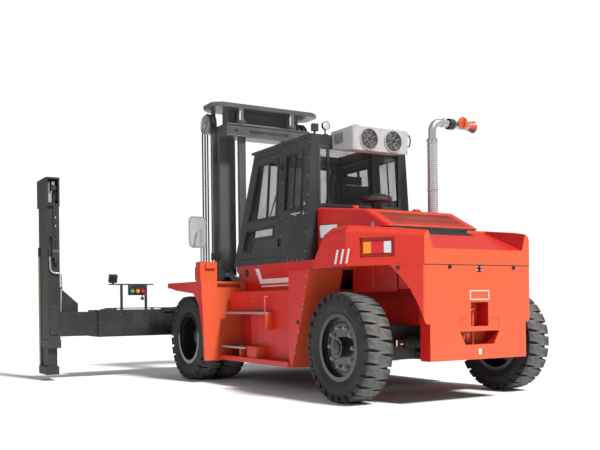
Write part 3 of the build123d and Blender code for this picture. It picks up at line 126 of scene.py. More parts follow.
view_yaw = math.radians(30.8324)
view_roll = math.radians(-0.6788)
camera_place = (5.73, 8.875, 1.017)
lens = bpy.data.cameras.new("camera")
lens.lens = 49.008
lens.sensor_width = 36.0
lens.shift_x = 0.0006
lens.shift_y = 0.1292
lens.clip_end = 200.0
camera = bpy.data.objects.new("camera", lens)
scene.collection.objects.link(camera)
ahead = Vector((-math.sin(view_yaw), -math.cos(view_yaw), 0.0))
across = Vector((-math.cos(view_yaw), math.sin(view_yaw), 0.0))
upward = Vector((0.0, 0.0, 1.0))
picture_right = across * math.cos(view_roll) + upward * math.sin(view_roll)
picture_up = upward * math.cos(view_roll) - across * math.sin(view_roll)
camera.matrix_world = (
    Matrix.Translation(camera_place)
    @ Matrix((picture_right, picture_up, -ahead)).transposed().to_4x4()
)
scene.camera = camera

# Effects that the finishes share
# Weather gives the patchy dust and the streaks of a working machine, strongest near the ground, and
# worn edges gives the bare or rubbed rim along a plate's arrises.


def new_group(name, ins, outs):
    """A shader node group with its sockets: name, kind and starting value."""
    group = bpy.data.node_groups.new(name, "ShaderNodeTree")
    for label, kind, start in ins:
        socket = group.interface.new_socket(label, in_out="INPUT", socket_type=f"NodeSocket{kind}")
        socket.default_value = start
    for label, kind in outs:
        group.interface.new_socket(label, in_out="OUTPUT", socket_type=f"NodeSocket{kind}")
    return group, group.nodes.new("NodeGroupInput"), group.nodes.new("NodeGroupOutput")


def add_math(tree, operation, first, second, clamp=False):
    """A Math node over two sockets or numbers."""
    node = tree.nodes.new("ShaderNodeMath")
    node.operation = operation
    node.use_clamp = clamp
    for slot, value in zip(node.inputs, (first, second)):
        if isinstance(value, (int, float)):
            slot.default_value = value
        else:
            tree.links.new(value, slot)
    return node.outputs[0]


def add_noise(tree, vector, scale, detail=4.0, rough=0.55):
    """A noise over the given coordinates; its factor comes back."""
    node = tree.nodes.new("ShaderNodeTexNoise")
    node.inputs["Detail"].default_value = detail
    node.inputs["Roughness"].default_value = rough
    tree.links.new(vector, node.inputs["Vector"])
    if isinstance(scale, (int, float)):
        node.inputs["Scale"].default_value = scale
    else:
        tree.links.new(scale, node.inputs["Scale"])
    return node.outputs["Fac"]


def add_range(tree, value, low, high, to_low=0.0, to_high=1.0):
    """A smooth Map Range of a value."""
    node = tree.nodes.new("ShaderNodeMapRange")
    node.interpolation_type = "SMOOTHSTEP"
    tree.links.new(value, node.inputs["Value"])
    for label, number in (("From Min", low), ("From Max", high), ("To Min", to_low), ("To Max", to_high)):
        node.inputs[label].default_value = number
    return node.outputs["Result"]


def add_mix(tree, factor, first, second):
    """A colour mix; the colours and the factor are sockets or values."""
    node = tree.nodes.new("ShaderNodeMix")
    node.data_type = "RGBA"
    for slot, value in ((node.inputs[0], factor), (node.inputs[6], first), (node.inputs[7], second)):
        if isinstance(value, (int, float, tuple)):
            slot.default_value = value
        else:
            tree.links.new(value, slot)
    return node.outputs[2]


def add_bearing(tree, normal, way):
    """How far a normal looks along a way, which is a vector or a socket."""
    node = tree.nodes.new("ShaderNodeVectorMath")
    node.operation = "DOT_PRODUCT"
    tree.links.new(normal, node.inputs[0])
    if isinstance(way, tuple):
        node.inputs[1].default_value = way
    else:
        tree.links.new(way, node.inputs[1])
    return node.outputs["Value"]


weather, given, put = new_group(
    "weather",
    (("Scale", "Float", 3.0), ("Dust", "Float", 0.3), ("Streaks", "Float", 0.3), ("Low", "Float", 0.6),
     ("Specks", "Float", 0.06)),
    (("Dust", "Float"), ("Patch", "Float"), ("Grain", "Float")),
)
place = weather.nodes.new("ShaderNodeTexCoord")
split = weather.nodes.new("ShaderNodeSeparateXYZ")
weather.links.new(place.outputs["Object"], split.inputs[0])
stretch = weather.nodes.new("ShaderNodeMapping")
stretch.inputs["Scale"].default_value = (7.0, 7.0, 0.7)
weather.links.new(place.outputs["Object"], stretch.inputs["Vector"])
cloud = add_noise(weather, place.outputs["Object"], given.outputs["Scale"])
streak = add_range(weather, add_noise(weather, stretch.outputs[0], 2.2, 5.0, 0.6), 0.46, 0.72)
speck = add_range(weather, add_noise(weather, place.outputs["Object"], 60.0, 3.0, 0.7), 0.45, 0.8)
low_part = add_range(weather, split.outputs["Z"], 1.5, 0.15)
dirt = add_math(weather, "MULTIPLY", add_range(weather, cloud, 0.42, 0.68), given.outputs["Dust"])
dirt = add_math(weather, "ADD", dirt, add_math(weather, "MULTIPLY", streak, given.outputs["Streaks"]))
ground = add_math(weather, "MULTIPLY", low_part, given.outputs["Low"])
ground = add_math(weather, "MULTIPLY", ground, add_range(weather, cloud, 0.3, 0.65, 0.45, 1.0))
dirt = add_math(weather, "ADD", dirt, ground)
grit = add_math(weather, "MULTIPLY", speck, given.outputs["Specks"])
dirt = add_math(weather, "ADD", dirt, grit, clamp=True)
weather.links.new(dirt, put.inputs["Dust"])
weather.links.new(cloud, put.inputs["Patch"])
weather.links.new(speck, put.inputs["Grain"])

worn_edges, given, put = new_group(
    "worn_edges", (("Radius", "Float", 0.006), ("Breakup", "Float", 9.0)),
    (("Worn", "Float"), ("Eased", "Vector")),
)
rounding = worn_edges.nodes.new("ShaderNodeBevel")
rounding.samples = 3
worn_edges.links.new(given.outputs["Radius"], rounding.inputs["Radius"])
flat_way = worn_edges.nodes.new("ShaderNodeNewGeometry").outputs["True Normal"]
turning = add_bearing(worn_edges, rounding.outputs["Normal"], flat_way)
arris = add_range(worn_edges, turning, 0.985, 0.85)
place = worn_edges.nodes.new("ShaderNodeTexCoord")
breakup = add_noise(worn_edges, place.outputs["Object"], given.outputs["Breakup"], 5.0, 0.7)
worn = add_math(worn_edges, "MULTIPLY", arris, add_range(worn_edges, breakup, 0.42, 0.62), clamp=True)
worn_edges.links.new(worn, put.inputs["Worn"])
worn_edges.links.new(rounding.outputs["Normal"], put.inputs["Eased"])

# Coated and bare surfaces
# Each finish of the machine is a base colour with its own dust, streaks, worn arrises and fine bump:
# sprayed paint, powder coat, bare steel, cast iron, rubber and moulded plastic. The orange paint also carries
# painted light and painted shade, set by the way each face looks.

# The paint's lit and shaded faces are painted: faces that look back and up toward the key get a lighter
# orange, which is painted light, and faces that look down get a near-black brown, which is painted shade.
key_facing_way, downward = (0.0, 0.97, 0.24), (0.0, 0.0, -1.0)
painted_underside_shade = (0.030, 0.018, 0.014)
soot = (0.045, 0.042, 0.04)


def coated(name, colour, dust_colour, amounts, gloss, worn=None, metal=0.0, patch=0.08,
           grain=(180.0, 0.0004), coat=0.0, painted_lit_colour=None, specks=0.06):
    """A finish. amounts are dust, streaks and ground dirt; worn is a colour, its share and its radius;
    the lit colour given is painted light on the faces that look back and up toward the key lamp, and
    the faces that look down are painted near black as painted shade."""
    finish = bpy.data.materials.new(name)
    finish.use_nodes = True
    tree = finish.node_tree
    shader = tree.nodes["Principled BSDF"]
    air = tree.nodes.new("ShaderNodeGroup")
    air.node_tree = weather
    air.inputs["Scale"].default_value = 2.4
    for label, value in zip(("Dust", "Streaks", "Low", "Specks"), amounts + (specks,)):
        air.inputs[label].default_value = value
    deeper = tuple(c * (1 - patch) for c in colour) + (1,)
    paler = tuple(min(1.0, c * (1 + patch)) for c in colour) + (1,)
    base = add_mix(tree, air.outputs["Patch"], deeper, paler)
    # Painted light on the faces toward the key, then painted shade on the faces that look down.
    if painted_lit_colour:
        normal = tree.nodes.new("ShaderNodeNewGeometry").outputs["Normal"]
        painted_light_share = add_range(tree, add_bearing(tree, normal, key_facing_way), 0.50, 0.92)
        base = add_mix(tree, painted_light_share, base, painted_lit_colour + (1,))
        underside_shade_share = add_range(tree, add_bearing(tree, normal, downward), 0.45, 0.90)
        base = add_mix(tree, underside_shade_share, base, painted_underside_shade + (1,))
    if worn:
        rim = tree.nodes.new("ShaderNodeGroup")
        rim.node_tree = worn_edges
        rim.inputs["Radius"].default_value = worn[2]
        share = add_math(tree, "MULTIPLY", rim.outputs["Worn"], worn[1])
        base = add_mix(tree, share, base, worn[0] + (1,))
    base = add_mix(tree, air.outputs["Dust"], base, dust_colour + (1,))
    tree.links.new(base, shader.inputs["Base Color"])
    rough = add_range(tree, air.outputs["Dust"], 0.0, 0.8, gloss, min(0.95, gloss + 0.35))
    tree.links.new(rough, shader.inputs["Roughness"])
    shader.inputs["Metallic"].default_value = metal
    shader.inputs["Coat Weight"].default_value = coat
    shader.inputs["Coat Roughness"].default_value = 0.12
    place = tree.nodes.new("ShaderNodeTexCoord")
    bump = tree.nodes.new("ShaderNodeBump")
    bump.inputs["Distance"].default_value = grain[1]
    tree.links.new(add_noise(tree, place.outputs["Object"], grain[0], 3.0, 0.6), bump.inputs["Height"])
    if worn:
        tree.links.new(rim.outputs["Eased"], bump.inputs["Normal"])
    tree.links.new(bump.outputs["Normal"], shader.inputs["Normal"])
    return finish


finishes = {
    # The orange paint's second, lighter colour is painted light on its faces toward the key.
    "paint": coated("orange_paint", (0.66, 0.013, 0.009), (0.40, 0.06, 0.035), (0.03, 0.03, 0.09), 0.36,
                    ((0.30, 0.05, 0.03), 0.4, 0.006), coat=0.05, painted_lit_colour=(0.74, 0.105, 0.036)),
    "cab": coated("cab_paint", (0.024, 0.030, 0.033), (0.16, 0.155, 0.14), (0.08, 0.08, 0.18), 0.36,
                  ((0.12, 0.12, 0.12), 0.4, 0.004), coat=0.2),
    "mast": coated("mast_paint", (0.082, 0.091, 0.094), (0.19, 0.18, 0.165), (0.10, 0.14, 0.10), 0.40,
                   ((0.30, 0.24, 0.19), 0.6, 0.006), coat=0.2),
    "spreader": coated("spreader_paint", (0.008, 0.0084, 0.0088), (0.085, 0.080, 0.072),
                       (0.12, 0.12, 0.12), 0.55, ((0.16, 0.12, 0.09), 0.6, 0.006), specks=0.45),
    "axle": coated("axle_paint", (0.035, 0.035, 0.037), (0.15, 0.135, 0.12), (0.35, 0.25, 0.45), 0.6,
                   ((0.15, 0.12, 0.10), 0.5, 0.006)),
    "rim": coated("rim_paint", (0.008, 0.0085, 0.009), (0.09, 0.085, 0.078), (0.01, 0.01, 0.05), 0.24,
                  ((0.20, 0.16, 0.13), 0.5, 0.005), coat=0.5),
    "tyre": coated("tyre_rubber", (0.010, 0.010, 0.0098), (0.10, 0.094, 0.086), (0.10, 0.05, 0.18), 0.68,
                   ((0.10, 0.095, 0.09), 0.5, 0.010), grain=(90.0, 0.0012)),
    "white": coated("white_coat", (0.48, 0.49, 0.485), (0.38, 0.36, 0.33), (0.22, 0.28, 0.2), 0.42),
    "steel": coated("galvanised_steel", (0.50, 0.51, 0.52), (0.26, 0.24, 0.21), (0.2, 0.15, 0.35), 0.38,
                    ((0.65, 0.65, 0.65), 0.5, 0.004), metal=0.75, patch=0.16),
    "chrome": coated("hard_chrome", (0.72, 0.73, 0.75), (0.32, 0.30, 0.27), (0.06, 0.05, 0.1), 0.12,
                     metal=1.0, patch=0.03, grain=(300.0, 0.0001)),
    "guard": coated("polished_guard", (0.74, 0.74, 0.75), (0.45, 0.43, 0.40), (0.10, 0.10, 0.05), 0.26,
                    metal=0.35),
    "stripe": coated("stripe_white", (0.90, 0.90, 0.90), (0.6, 0.58, 0.55), (0.05, 0.05, 0.05), 0.4),
    # The mirror glass is only partly metallic; its pale diffuse colour is a painted reflection of the bright
    # sky.
    "glazed": coated("silvered_glass", (0.70, 0.72, 0.74), (0.5, 0.5, 0.48), (0.04, 0.04, 0.02), 0.08,
                     metal=0.45, patch=0.02),
    "strip": coated("bearing_plastic", (0.30, 0.22, 0.12), (0.2, 0.17, 0.13), (0.15, 0.1, 0.2), 0.5),
    "engine": coated("engine_iron", (0.055, 0.057, 0.06), soot, (0.4, 0.3, 0.4), 0.6),
    "plastic": coated("black_plastic", (0.020, 0.020, 0.021), (0.14, 0.13, 0.115), (0.15, 0.10, 0.3), 0.5,
                      grain=(420.0, 0.0005)),
    "lamp": coated("lamp_lens", (0.55, 0.045, 0.02), (0.35, 0.2, 0.15), (0.1, 0.05, 0.1), 0.16, coat=0.6),
    "mirror": coated("mirror_shell", (0.55, 0.56, 0.57), (0.3, 0.28, 0.26), (0.1, 0.1, 0.1), 0.2, metal=0.6),
}

# Glass
# Tinted toughened panes, thin enough to see the seat and the far windows through, with a light film
# of dust that gathers at the lower edges.

glass_finish = bpy.data.materials.new("tinted_glass")
glass_finish.use_nodes = True
tree = glass_finish.node_tree
shader = tree.nodes["Principled BSDF"]
air = tree.nodes.new("ShaderNodeGroup")
air.node_tree = weather
air.inputs["Dust"].default_value = 0.35
air.inputs["Streaks"].default_value = 0.3
tint = add_mix(tree, air.outputs["Dust"], (0.030, 0.038, 0.040, 1), (0.22, 0.22, 0.21, 1))
tree.links.new(tint, shader.inputs["Base Color"])
tree.links.new(add_range(tree, air.outputs["Dust"], 0.0, 0.8, 0.04, 0.3), shader.inputs["Roughness"])
tree.links.new(add_range(tree, air.outputs["Dust"], 0.0, 0.8, 0.22, 0.42), shader.inputs["Alpha"])
shader.inputs["IOR"].default_value = 1.5
shader.inputs["Specular IOR Level"].default_value = 0.8
finishes["glass"] = glass_finish
finishes["lens"] = glass_finish

for node in nodes.values():
    for slot in node.material_slots:
        kind = slot.material.name.split(".")[0]
        slot.material = finishes.get(kind, finishes["paint"])

# Worn tread
# The lugs' running faces are scuffed paler than the grooves and the sidewalls.

front_axle_y, rear_axle_y, axle_z, tread_radius = -1.355, 2.015, 0.560, 0.560
rubber_tree = finishes["tyre"].node_tree
rubber_shader = rubber_tree.nodes["Principled BSDF"]
place = rubber_tree.nodes.new("ShaderNodeTexCoord")
split = rubber_tree.nodes.new("ShaderNodeSeparateXYZ")
rubber_tree.links.new(place.outputs["Object"], split.inputs[0])


def squared_gap(tree, value, middle):
    """The square of how far a value is from a middle."""
    gap = add_math(tree, "SUBTRACT", value, middle)
    return add_math(tree, "MULTIPLY", gap, gap)


upright = squared_gap(rubber_tree, split.outputs["Z"], axle_z)
reaches = []
for axle_y in (front_axle_y, rear_axle_y):
    level = squared_gap(rubber_tree, split.outputs["Y"], axle_y)
    reaches.append(add_math(rubber_tree, "SQRT", add_math(rubber_tree, "ADD", level, upright), 0.0))
reach = add_math(rubber_tree, "MINIMUM", reaches[0], reaches[1])
scuffed = add_range(rubber_tree, reach, tread_radius - 0.010, tread_radius - 0.001)
scuffs = add_noise(rubber_tree, place.outputs["Object"], 14.0, 5.0, 0.7)
scuffed = add_math(rubber_tree, "MULTIPLY", scuffed, add_range(rubber_tree, scuffs, 0.25, 0.7, 0.45, 1.0))
under = rubber_shader.inputs["Base Color"].links[0].from_socket
scuffed_rubber = add_mix(rubber_tree, scuffed, under, (0.145, 0.141, 0.134, 1))
rubber_tree.links.new(scuffed_rubber, rubber_shader.inputs["Base Color"])

# Wheel nuts, hub caps, rim rings and valve stems
# The drive wheels are held by a ring of nuts on studs round the planetary hub, and the steered ones by
# the same nuts; every nut is a forged hexagon, and the rims are rolled rings with turned flanges.


def plate(work, x, y, z):
    """A block between two places on each axis."""
    made = bmesh.ops.create_cube(work, size=1.0)["verts"]
    size = Matrix.Diagonal((x[1] - x[0], y[1] - y[0], z[1] - z[0], 1.0))
    middle = Matrix.Translation(((x[0] + x[1]) / 2, (y[0] + y[1]) / 2, (z[0] + z[1]) / 2))
    bmesh.ops.transform(work, matrix=middle @ size, verts=made)
    return made


def side_plate(work, sign, x, y, z):
    """A block on the left side of the machine, or its mirror on the right."""
    return plate(work, tuple(sorted(sign * edge for edge in x)), y, z)


def bar(work, first, last, radius, sides=16, last_radius=None):
    """A round bar, or a cone, from one place to another, with closed ends."""
    first, last = Vector(first), Vector(last)
    run = last - first
    made = bmesh.ops.create_cone(
        work, segments=sides, radius1=radius, radius2=radius if last_radius is None else last_radius,
        depth=run.length, cap_ends=True,
    )["verts"]
    turn = run.to_track_quat("Z", "Y").to_matrix().to_4x4()
    bmesh.ops.transform(work, matrix=Matrix.Translation((first + last) / 2) @ turn, verts=made)
    return made


def bent_bar(work, places, radius, sides):
    """A round bar bent through the places."""
    for first, last in zip(places, places[1:]):
        bar(work, first, last, radius, sides)


def skin(work, loops, band=False):
    """Faces between each loop of corners and the next; a lid at each end, or a closed ring if a band."""
    for low, high in zip(loops, loops[1:] + (loops[:1] if band else [])):
        for i in range(len(low)):
            j = (i + 1) % len(low)
            work.faces.new((low[i], low[j], high[j], high[i]))
    if not band:
        work.faces.new(tuple(reversed(loops[0])))
        work.faces.new(tuple(loops[-1]))


def turned(work, profile, place, way, sides=32, band=False):
    """A turned form: (radius, distance) steps along the way from the place, a closed ring if a band."""
    turn = Vector(way).to_track_quat("Z", "Y").to_matrix().to_4x4()
    turns = [2 * math.pi * i / sides for i in range(sides)]
    rings = [
        [work.verts.new((radius * math.cos(a), radius * math.sin(a), far)) for a in turns]
        for radius, far in profile
    ]
    skin(work, rings, band)
    made = [v for ring in rings for v in ring]
    bmesh.ops.transform(work, matrix=Matrix.Translation(place) @ turn, verts=made)


def round_section(radius, thick, sides):
    """The section of a ring of round bar."""
    turns = [2 * math.pi * i / sides for i in range(sides)]
    return [(radius + thick * math.cos(a), thick * math.sin(a)) for a in turns]


def finished(work, name, body, kind, arris=0.0, smooth=35.0, finish=None):
    """Turns the mesh into a piece of that finish that rides on the body, with eased arrises."""
    mesh = bpy.data.meshes.new(name)
    bmesh.ops.recalc_face_normals(work, faces=work.faces)
    work.to_mesh(mesh)
    work.free()
    if finish:
        mesh.materials.append(finish)
    return settled(mesh, name, body, kind, arris, smooth)


def settled(mesh, name, body, kind, arris=0.0, smooth=35.0):
    """Gives a mesh its object, its kind's finish if it has none, eased arrises and a body."""
    piece = bpy.data.objects.new(name, mesh)
    scene.collection.objects.link(piece)
    if not mesh.materials:
        mesh.materials.append(finishes[kind])
    for face in mesh.polygons:
        face.use_smooth = True
    mesh.set_sharp_from_angle(angle=math.radians(smooth))
    if arris:
        ease = piece.modifiers.new("ease", "BEVEL")
        ease.width = arris
        ease.segments = 2
        ease.limit_method = "ANGLE"
        ease.angle_limit = math.radians(40)
        ease.harden_normals = False
    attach(piece, body)
    return piece

# The tree that sets a fastener, a stud or a link out on every place of a mesh of points.
set_out = bpy.data.node_groups.new("set_out", "GeometryNodeTree")
set_out_inputs = {}
for label, kind in (
    ("Geometry", "Geometry"), ("Piece", "Object"), ("Size", "Float"), ("Spin", "Float"),
    ("Finish", "Material"),
):
    set_out_inputs[label] = set_out.interface.new_socket(
        label, in_out="INPUT", socket_type=f"NodeSocket{kind}"
    ).identifier
set_out.interface.new_socket("Geometry", in_out="OUTPUT", socket_type="NodeSocketGeometry")
steps = {
    label: set_out.nodes.new(kind)
    for label, kind in (
        ("in", "NodeGroupInput"), ("out", "NodeGroupOutput"), ("way", "GeometryNodeInputNamedAttribute"),
        ("face", "FunctionNodeAlignRotationToVector"), ("lot", "FunctionNodeRandomValue"),
        ("spin", "ShaderNodeCombineXYZ"), ("turn", "FunctionNodeRotateRotation"),
        ("piece", "GeometryNodeObjectInfo"), ("put", "GeometryNodeInstanceOnPoints"),
        ("real", "GeometryNodeRealizeInstances"), ("paint", "GeometryNodeSetMaterial"),
        ("euler", "FunctionNodeEulerToRotation"),
    )
}
steps["way"].data_type = "FLOAT_VECTOR"
steps["way"].inputs["Name"].default_value = "way"
steps["face"].axis = "Z"
steps["lot"].data_type = "FLOAT"
steps["turn"].rotation_space = "LOCAL"
for socket in steps["lot"].inputs:
    if socket.name == "Seed":
        socket.default_value = 7
for start, out, end, into in (
    ("way", "Attribute", "face", "Vector"), ("in", "Spin", "lot", "Max"), ("lot", "Value", "spin", "Z"),
    ("spin", "Vector", "euler", "Euler"), ("face", "Rotation", "turn", "Rotation"),
    ("euler", "Rotation", "turn", "Rotate By"), ("in", "Piece", "piece", "Object"),
    ("in", "Geometry", "put", "Points"), ("piece", "Geometry", "put", "Instance"),
    ("turn", "Rotation", "put", "Rotation"), ("in", "Size", "put", "Scale"),
    ("put", "Instances", "real", "Geometry"), ("real", "Geometry", "paint", "Geometry"),
    ("in", "Finish", "paint", "Material"), ("paint", "Geometry", "out", "Geometry"),
):
    sockets_out = [s for s in steps[start].outputs if s.name == out and s.enabled]
    sockets_in = [s for s in steps[end].inputs if s.name == into and s.enabled]
    set_out.links.new(sockets_out[0], sockets_in[0])


def shape(name, build):
    """A small form that is repeated, kept out of the scene."""
    work = bmesh.new()
    build(work)
    bmesh.ops.recalc_face_normals(work, faces=work.faces)
    mesh = bpy.data.meshes.new(name)
    work.to_mesh(mesh)
    work.free()
    return bpy.data.objects.new(name, mesh)


def repeated(name, form, places, body, kind, size=1.0, spin=0.0):
    """The form set out on every (place, way), as one piece on the body."""
    points = bpy.data.meshes.new(name + "_places")
    points.from_pydata([place for place, way in places], [], [])
    ways = points.attributes.new("way", "FLOAT_VECTOR", "POINT")
    for item, (place, way) in zip(ways.data, places):
        item.vector = way
    maker = bpy.data.objects.new(name + "_maker", points)
    scene.collection.objects.link(maker)
    layer = maker.modifiers.new("set_out", "NODES")
    layer.node_group = set_out
    layer[set_out_inputs["Piece"]] = form
    layer[set_out_inputs["Size"]] = size
    layer[set_out_inputs["Spin"]] = spin
    layer[set_out_inputs["Finish"]] = finishes[kind]
    bpy.context.view_layer.update()
    seen = maker.evaluated_get(bpy.context.evaluated_depsgraph_get())
    mesh = bpy.data.meshes.new_from_object(seen)
    bpy.data.objects.remove(maker)
    mesh.name = name
    return settled(mesh, name, body, kind)


def build_bolt(work):
    """A washer and a hexagon head on it, 1 m across its washer before it is scaled."""
    bar(work, (0, 0, 0), (0, 0, 0.08), 0.5, 16)
    bar(work, (0, 0, 0.08), (0, 0, 0.42), 0.38, 6)
    bar(work, (0, 0, 0.42), (0, 0, 0.46), 0.30, 6, 0.26)


def build_nut(work):
    """A wheel nut on its stud."""
    bar(work, (0, 0, 0), (0, 0, 0.12), 0.5, 16)
    bar(work, (0, 0, 0.12), (0, 0, 0.62), 0.42, 6)
    bar(work, (0, 0, 0.62), (0, 0, 0.85), 0.2, 10)


bolt = shape("bolt_form", build_bolt)
nut = shape("nut_form", build_nut)


def bolt_circle(x, y, z, radius, count, start=0.0):
    """Places on a circle round a wheel's axis, all facing away from the machine's middle."""
    turns = [2 * math.pi * (i + start) / count for i in range(count)]
    way = (math.copysign(1, x), 0, 0)
    return [((x, y + radius * math.cos(a), z + radius * math.sin(a)), way) for a in turns]


front_bead_x, rear_bead_x = 1.364, 1.184
nut_circle, nut_count, hub_screw_count = 0.205, 10, 8
stem_steps = ((0.0, 0.245), (0.075, 0.257), (0.070, 0.256), (0.092, 0.259))
for side, sign in SIDES:
    way = (sign, 0, 0)
    for name, disc_x, bead_x, axle_y, hub_x, hub_radius, body in (
        (f"front_{side}", 1.095, front_bead_x, front_axle_y, 1.230, 0.150, f"front_wheels_{side}"),
        (f"rear_{side}", 1.140, rear_bead_x, rear_axle_y, 1.215, 0.105, f"rear_wheel_{side}"),
    ):
        nuts = bolt_circle(sign * disc_x, axle_y, axle_z, nut_circle, nut_count)
        repeated(f"nuts_{name}", nut, nuts, body, "steel", size=0.046, spin=1.0)
        screws = bolt_circle(sign * hub_x, axle_y, axle_z, hub_radius - 0.028, hub_screw_count, 0.5)
        repeated(f"hub_screws_{name}", bolt, screws, body, "axle", size=0.022, spin=1.0)
        cap, flange = bmesh.new(), bmesh.new()
        turned(
            cap, [(hub_radius * 0.62, -0.002), (hub_radius * 0.62, 0.012), (hub_radius * 0.5, 0.022),
                  (hub_radius * 0.22, 0.024), (hub_radius * 0.20, 0.034), (0.004, 0.036)],
            (sign * hub_x, axle_y, axle_z), way, 36,
        )
        turned(
            cap, [(0.262, -0.004), (0.262, 0.006), (0.246, 0.010), (0.242, -0.004)],
            (sign * disc_x, axle_y, axle_z), way, 48, band=True,
        )
        for ring in (
            [(0.3485, -0.006), (0.3485, 0.007), (0.342, 0.0125), (0.334, 0.009), (0.331, -0.006)],
            [(0.325, -0.006), (0.325, 0.005), (0.318, 0.009), (0.311, 0.005), (0.303, -0.006)],
            [(0.302, -0.046), (0.302, -0.034), (0.288, -0.030), (0.286, -0.046)],
        ):
            turned(flange, ring, (sign * bead_x, axle_y, axle_z), way, 72, band=True)
        finished(flange, f"rim_rings_{name}", body, "rim")
        stem = [(sign * (disc_x + out), axle_y, axle_z + up) for out, up in stem_steps]
        bar(cap, stem[0], stem[1], 0.006, 10)
        bar(cap, stem[2], stem[3], 0.009, 10)
        finished(cap, f"hub_cap_{name}", body, "axle")

# Tyre sidewall
# Moulded rubber with fine circular ribs between the tread's shoulder and the bead, and a thicker
# scuff band, as on an industrial tyre.

bead_radius, shoulder_radius, shoulder_out = 0.346, 0.430, 0.038
for side, sign in SIDES:
    for name, bead_x, axle_y, body in (
        (f"front_{side}", front_bead_x, front_axle_y, f"front_wheels_{side}"),
        (f"rear_{side}", rear_bead_x, rear_axle_y, f"rear_wheel_{side}"),
    ):
        rings = bmesh.new()
        for share, width in ((0.14, 0.006), (0.30, 0.004), (0.44, 0.004), (0.62, 0.014), (0.86, 0.006)):
            radius = bead_radius + share * (shoulder_radius - bead_radius)
            turned(
                rings,
                [(radius - width, -0.008), (radius - width, 0.0005), (radius - width + 0.001, 0.003),
                 (radius + width - 0.001, 0.006), (radius + width, 0.004), (radius + width, -0.008)],
                (sign * (bead_x + share * shoulder_out), axle_y, axle_z), (sign, 0, 0), 72, band=True,
            )
        finished(rings, f"sidewall_rings_{name}", body, "tyre")

# Tyres
# Pneumatic rubber with deep slanted bar lugs that alternate from side to side, wrap over each shoulder
# and run a little past the middle; the sidewall swells between the bead and the shoulder.

groove_radius, sidewall_bulge, lugs_a_side = 0.531, 0.152, 26
lug_plan = (
    (0.149, -0.030), (0.149, 0.070), (0.085, 0.064), (0.030, 0.066), (-0.006, 0.0678), (-0.006, -0.0678),
    (0.030, -0.056), (0.085, -0.042),
)
lug_tail = (
    (0.149, tread_radius - 0.009, 0.049), (0.1545, 0.520, 0.043), (0.1545, 0.492, 0.032),
    (0.140, 0.484, 0.032), (0.130, 0.535, 0.049),
)


def build_lug(work, centre_x, axle_y, side, middle):
    """One slanted bar lug on a side of the tread, and its tail down the shoulder."""

    def corner(x, radius, along):
        """A corner at a width, a radius and a distance round from the lug's middle."""
        turn = middle + side * along / tread_radius
        return work.verts.new((
            centre_x + side * x, axle_y + radius * math.sin(turn), axle_z - radius * math.cos(turn),
        ))

    rings = []
    for level, shrink in ((groove_radius - 0.012, 1.06), (tread_radius - 0.003, 1.0), (tread_radius, 0.95)):
        ring = []
        for x, along in lug_plan:
            crown = 0.007 * (max(0.0, abs(x) - 0.10) / 0.05) ** 2 if level > groove_radius else 0.0
            ring.append(corner(x, level - crown, (along - 0.020) * (shrink if x > 0.05 else 1.0)))
        rings.append(ring)
    skin(work, rings)
    skin(work, [[corner(x, radius, end * spread) for x, radius, spread in lug_tail] for end in (-1, 1)])


def build_tyre(work, centre_x, axle_y):
    """One tyre: its turned carcass, then the lugs of both sides."""
    half = [
        (0.321, 0.114), (0.346, 0.117), (0.385, sidewall_bulge * 0.93), (0.430, sidewall_bulge),
        (0.470, sidewall_bulge * 0.985), (0.512, 0.134), (groove_radius, 0.110),
    ]
    section = [(radius, -far) for radius, far in half] + half[::-1]
    turned(work, section, (centre_x, axle_y, axle_z), (1, 0, 0), 78, band=True)
    for side, shift in ((1, 0.0), (-1, 0.5)):
        for n in range(lugs_a_side):
            build_lug(work, centre_x, axle_y, side, 2 * math.pi * (n + shift) / lugs_a_side)


for side, sign in SIDES:
    for name, middles, axle_y, body, packed in (
        ("drive_tyres", (1.250, 0.910), front_axle_y, "front_wheels", "front_tyres"),
        ("steer_tyre", (1.070,), rear_axle_y, "rear_wheel", "rear_tyre"),
    ):
        tyres = bmesh.new()
        for middle_x in middles:
            build_tyre(tyres, sign * middle_x, axle_y)
        piece = finished(tyres, f"{name}_{side}", f"{body}_{side}", "tyre", smooth=40.0)
        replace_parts(piece, f"{packed}_{side}")

# Counterweight trim
# A casting with its lifting screws, a dark parting line under the cover, a blank plate in a pale frame,
# raised foundry lines beside the tow recess, and the coupling's painted pin with its lever.

rear_y, seam_z = 2.785, 1.370
corner_y, cover_x, rear_half = 2.165, 1.190, 0.700
body_slant = math.atan2(cover_x - rear_half, rear_y - corner_y)
rear_way = (0, 1, 0)
rear_skin = (rear_y - 0.001, rear_y + 0.003)


def slanted(sign, x):
    """The y of the cover's slanted corner face at x, and the way that the face looks."""
    return (
        corner_y + (cover_x - abs(x)) / math.tan(body_slant),
        (sign * math.cos(body_slant), math.sin(body_slant), 0),
    )


cheek_x = 0.86
cheek_y = rear_y - 0.418 * (cheek_x - rear_half) / 0.330
cheek_screws = [((sign * cheek_x, cheek_y, 1.345), (sign * 0.785, 0.62, 0)) for side, sign in SIDES]
repeated(
    "counterweight_screws", bolt,
    [((x, rear_y, 1.348), rear_way) for x in (0.386, -0.471)] + cheek_screws,
    "chassis", "rim", size=0.040, spin=1.0,
)
repeated(
    "cover_lock_screws", bolt,
    [((x, rear_y - 0.004, z), rear_way) for x in (-0.026, 0.026) for z in (1.318, 1.352)],
    "chassis", "steel", size=0.026, spin=1.0,
)

parting = bmesh.new()
plate(
    parting, (-rear_half + 0.004, rear_half - 0.004), (rear_y - 0.004, rear_y + 0.0015),
    (seam_z - 0.004, seam_z + 0.004),
)
finished(parting, "cover_parting_line", "chassis", "plastic")

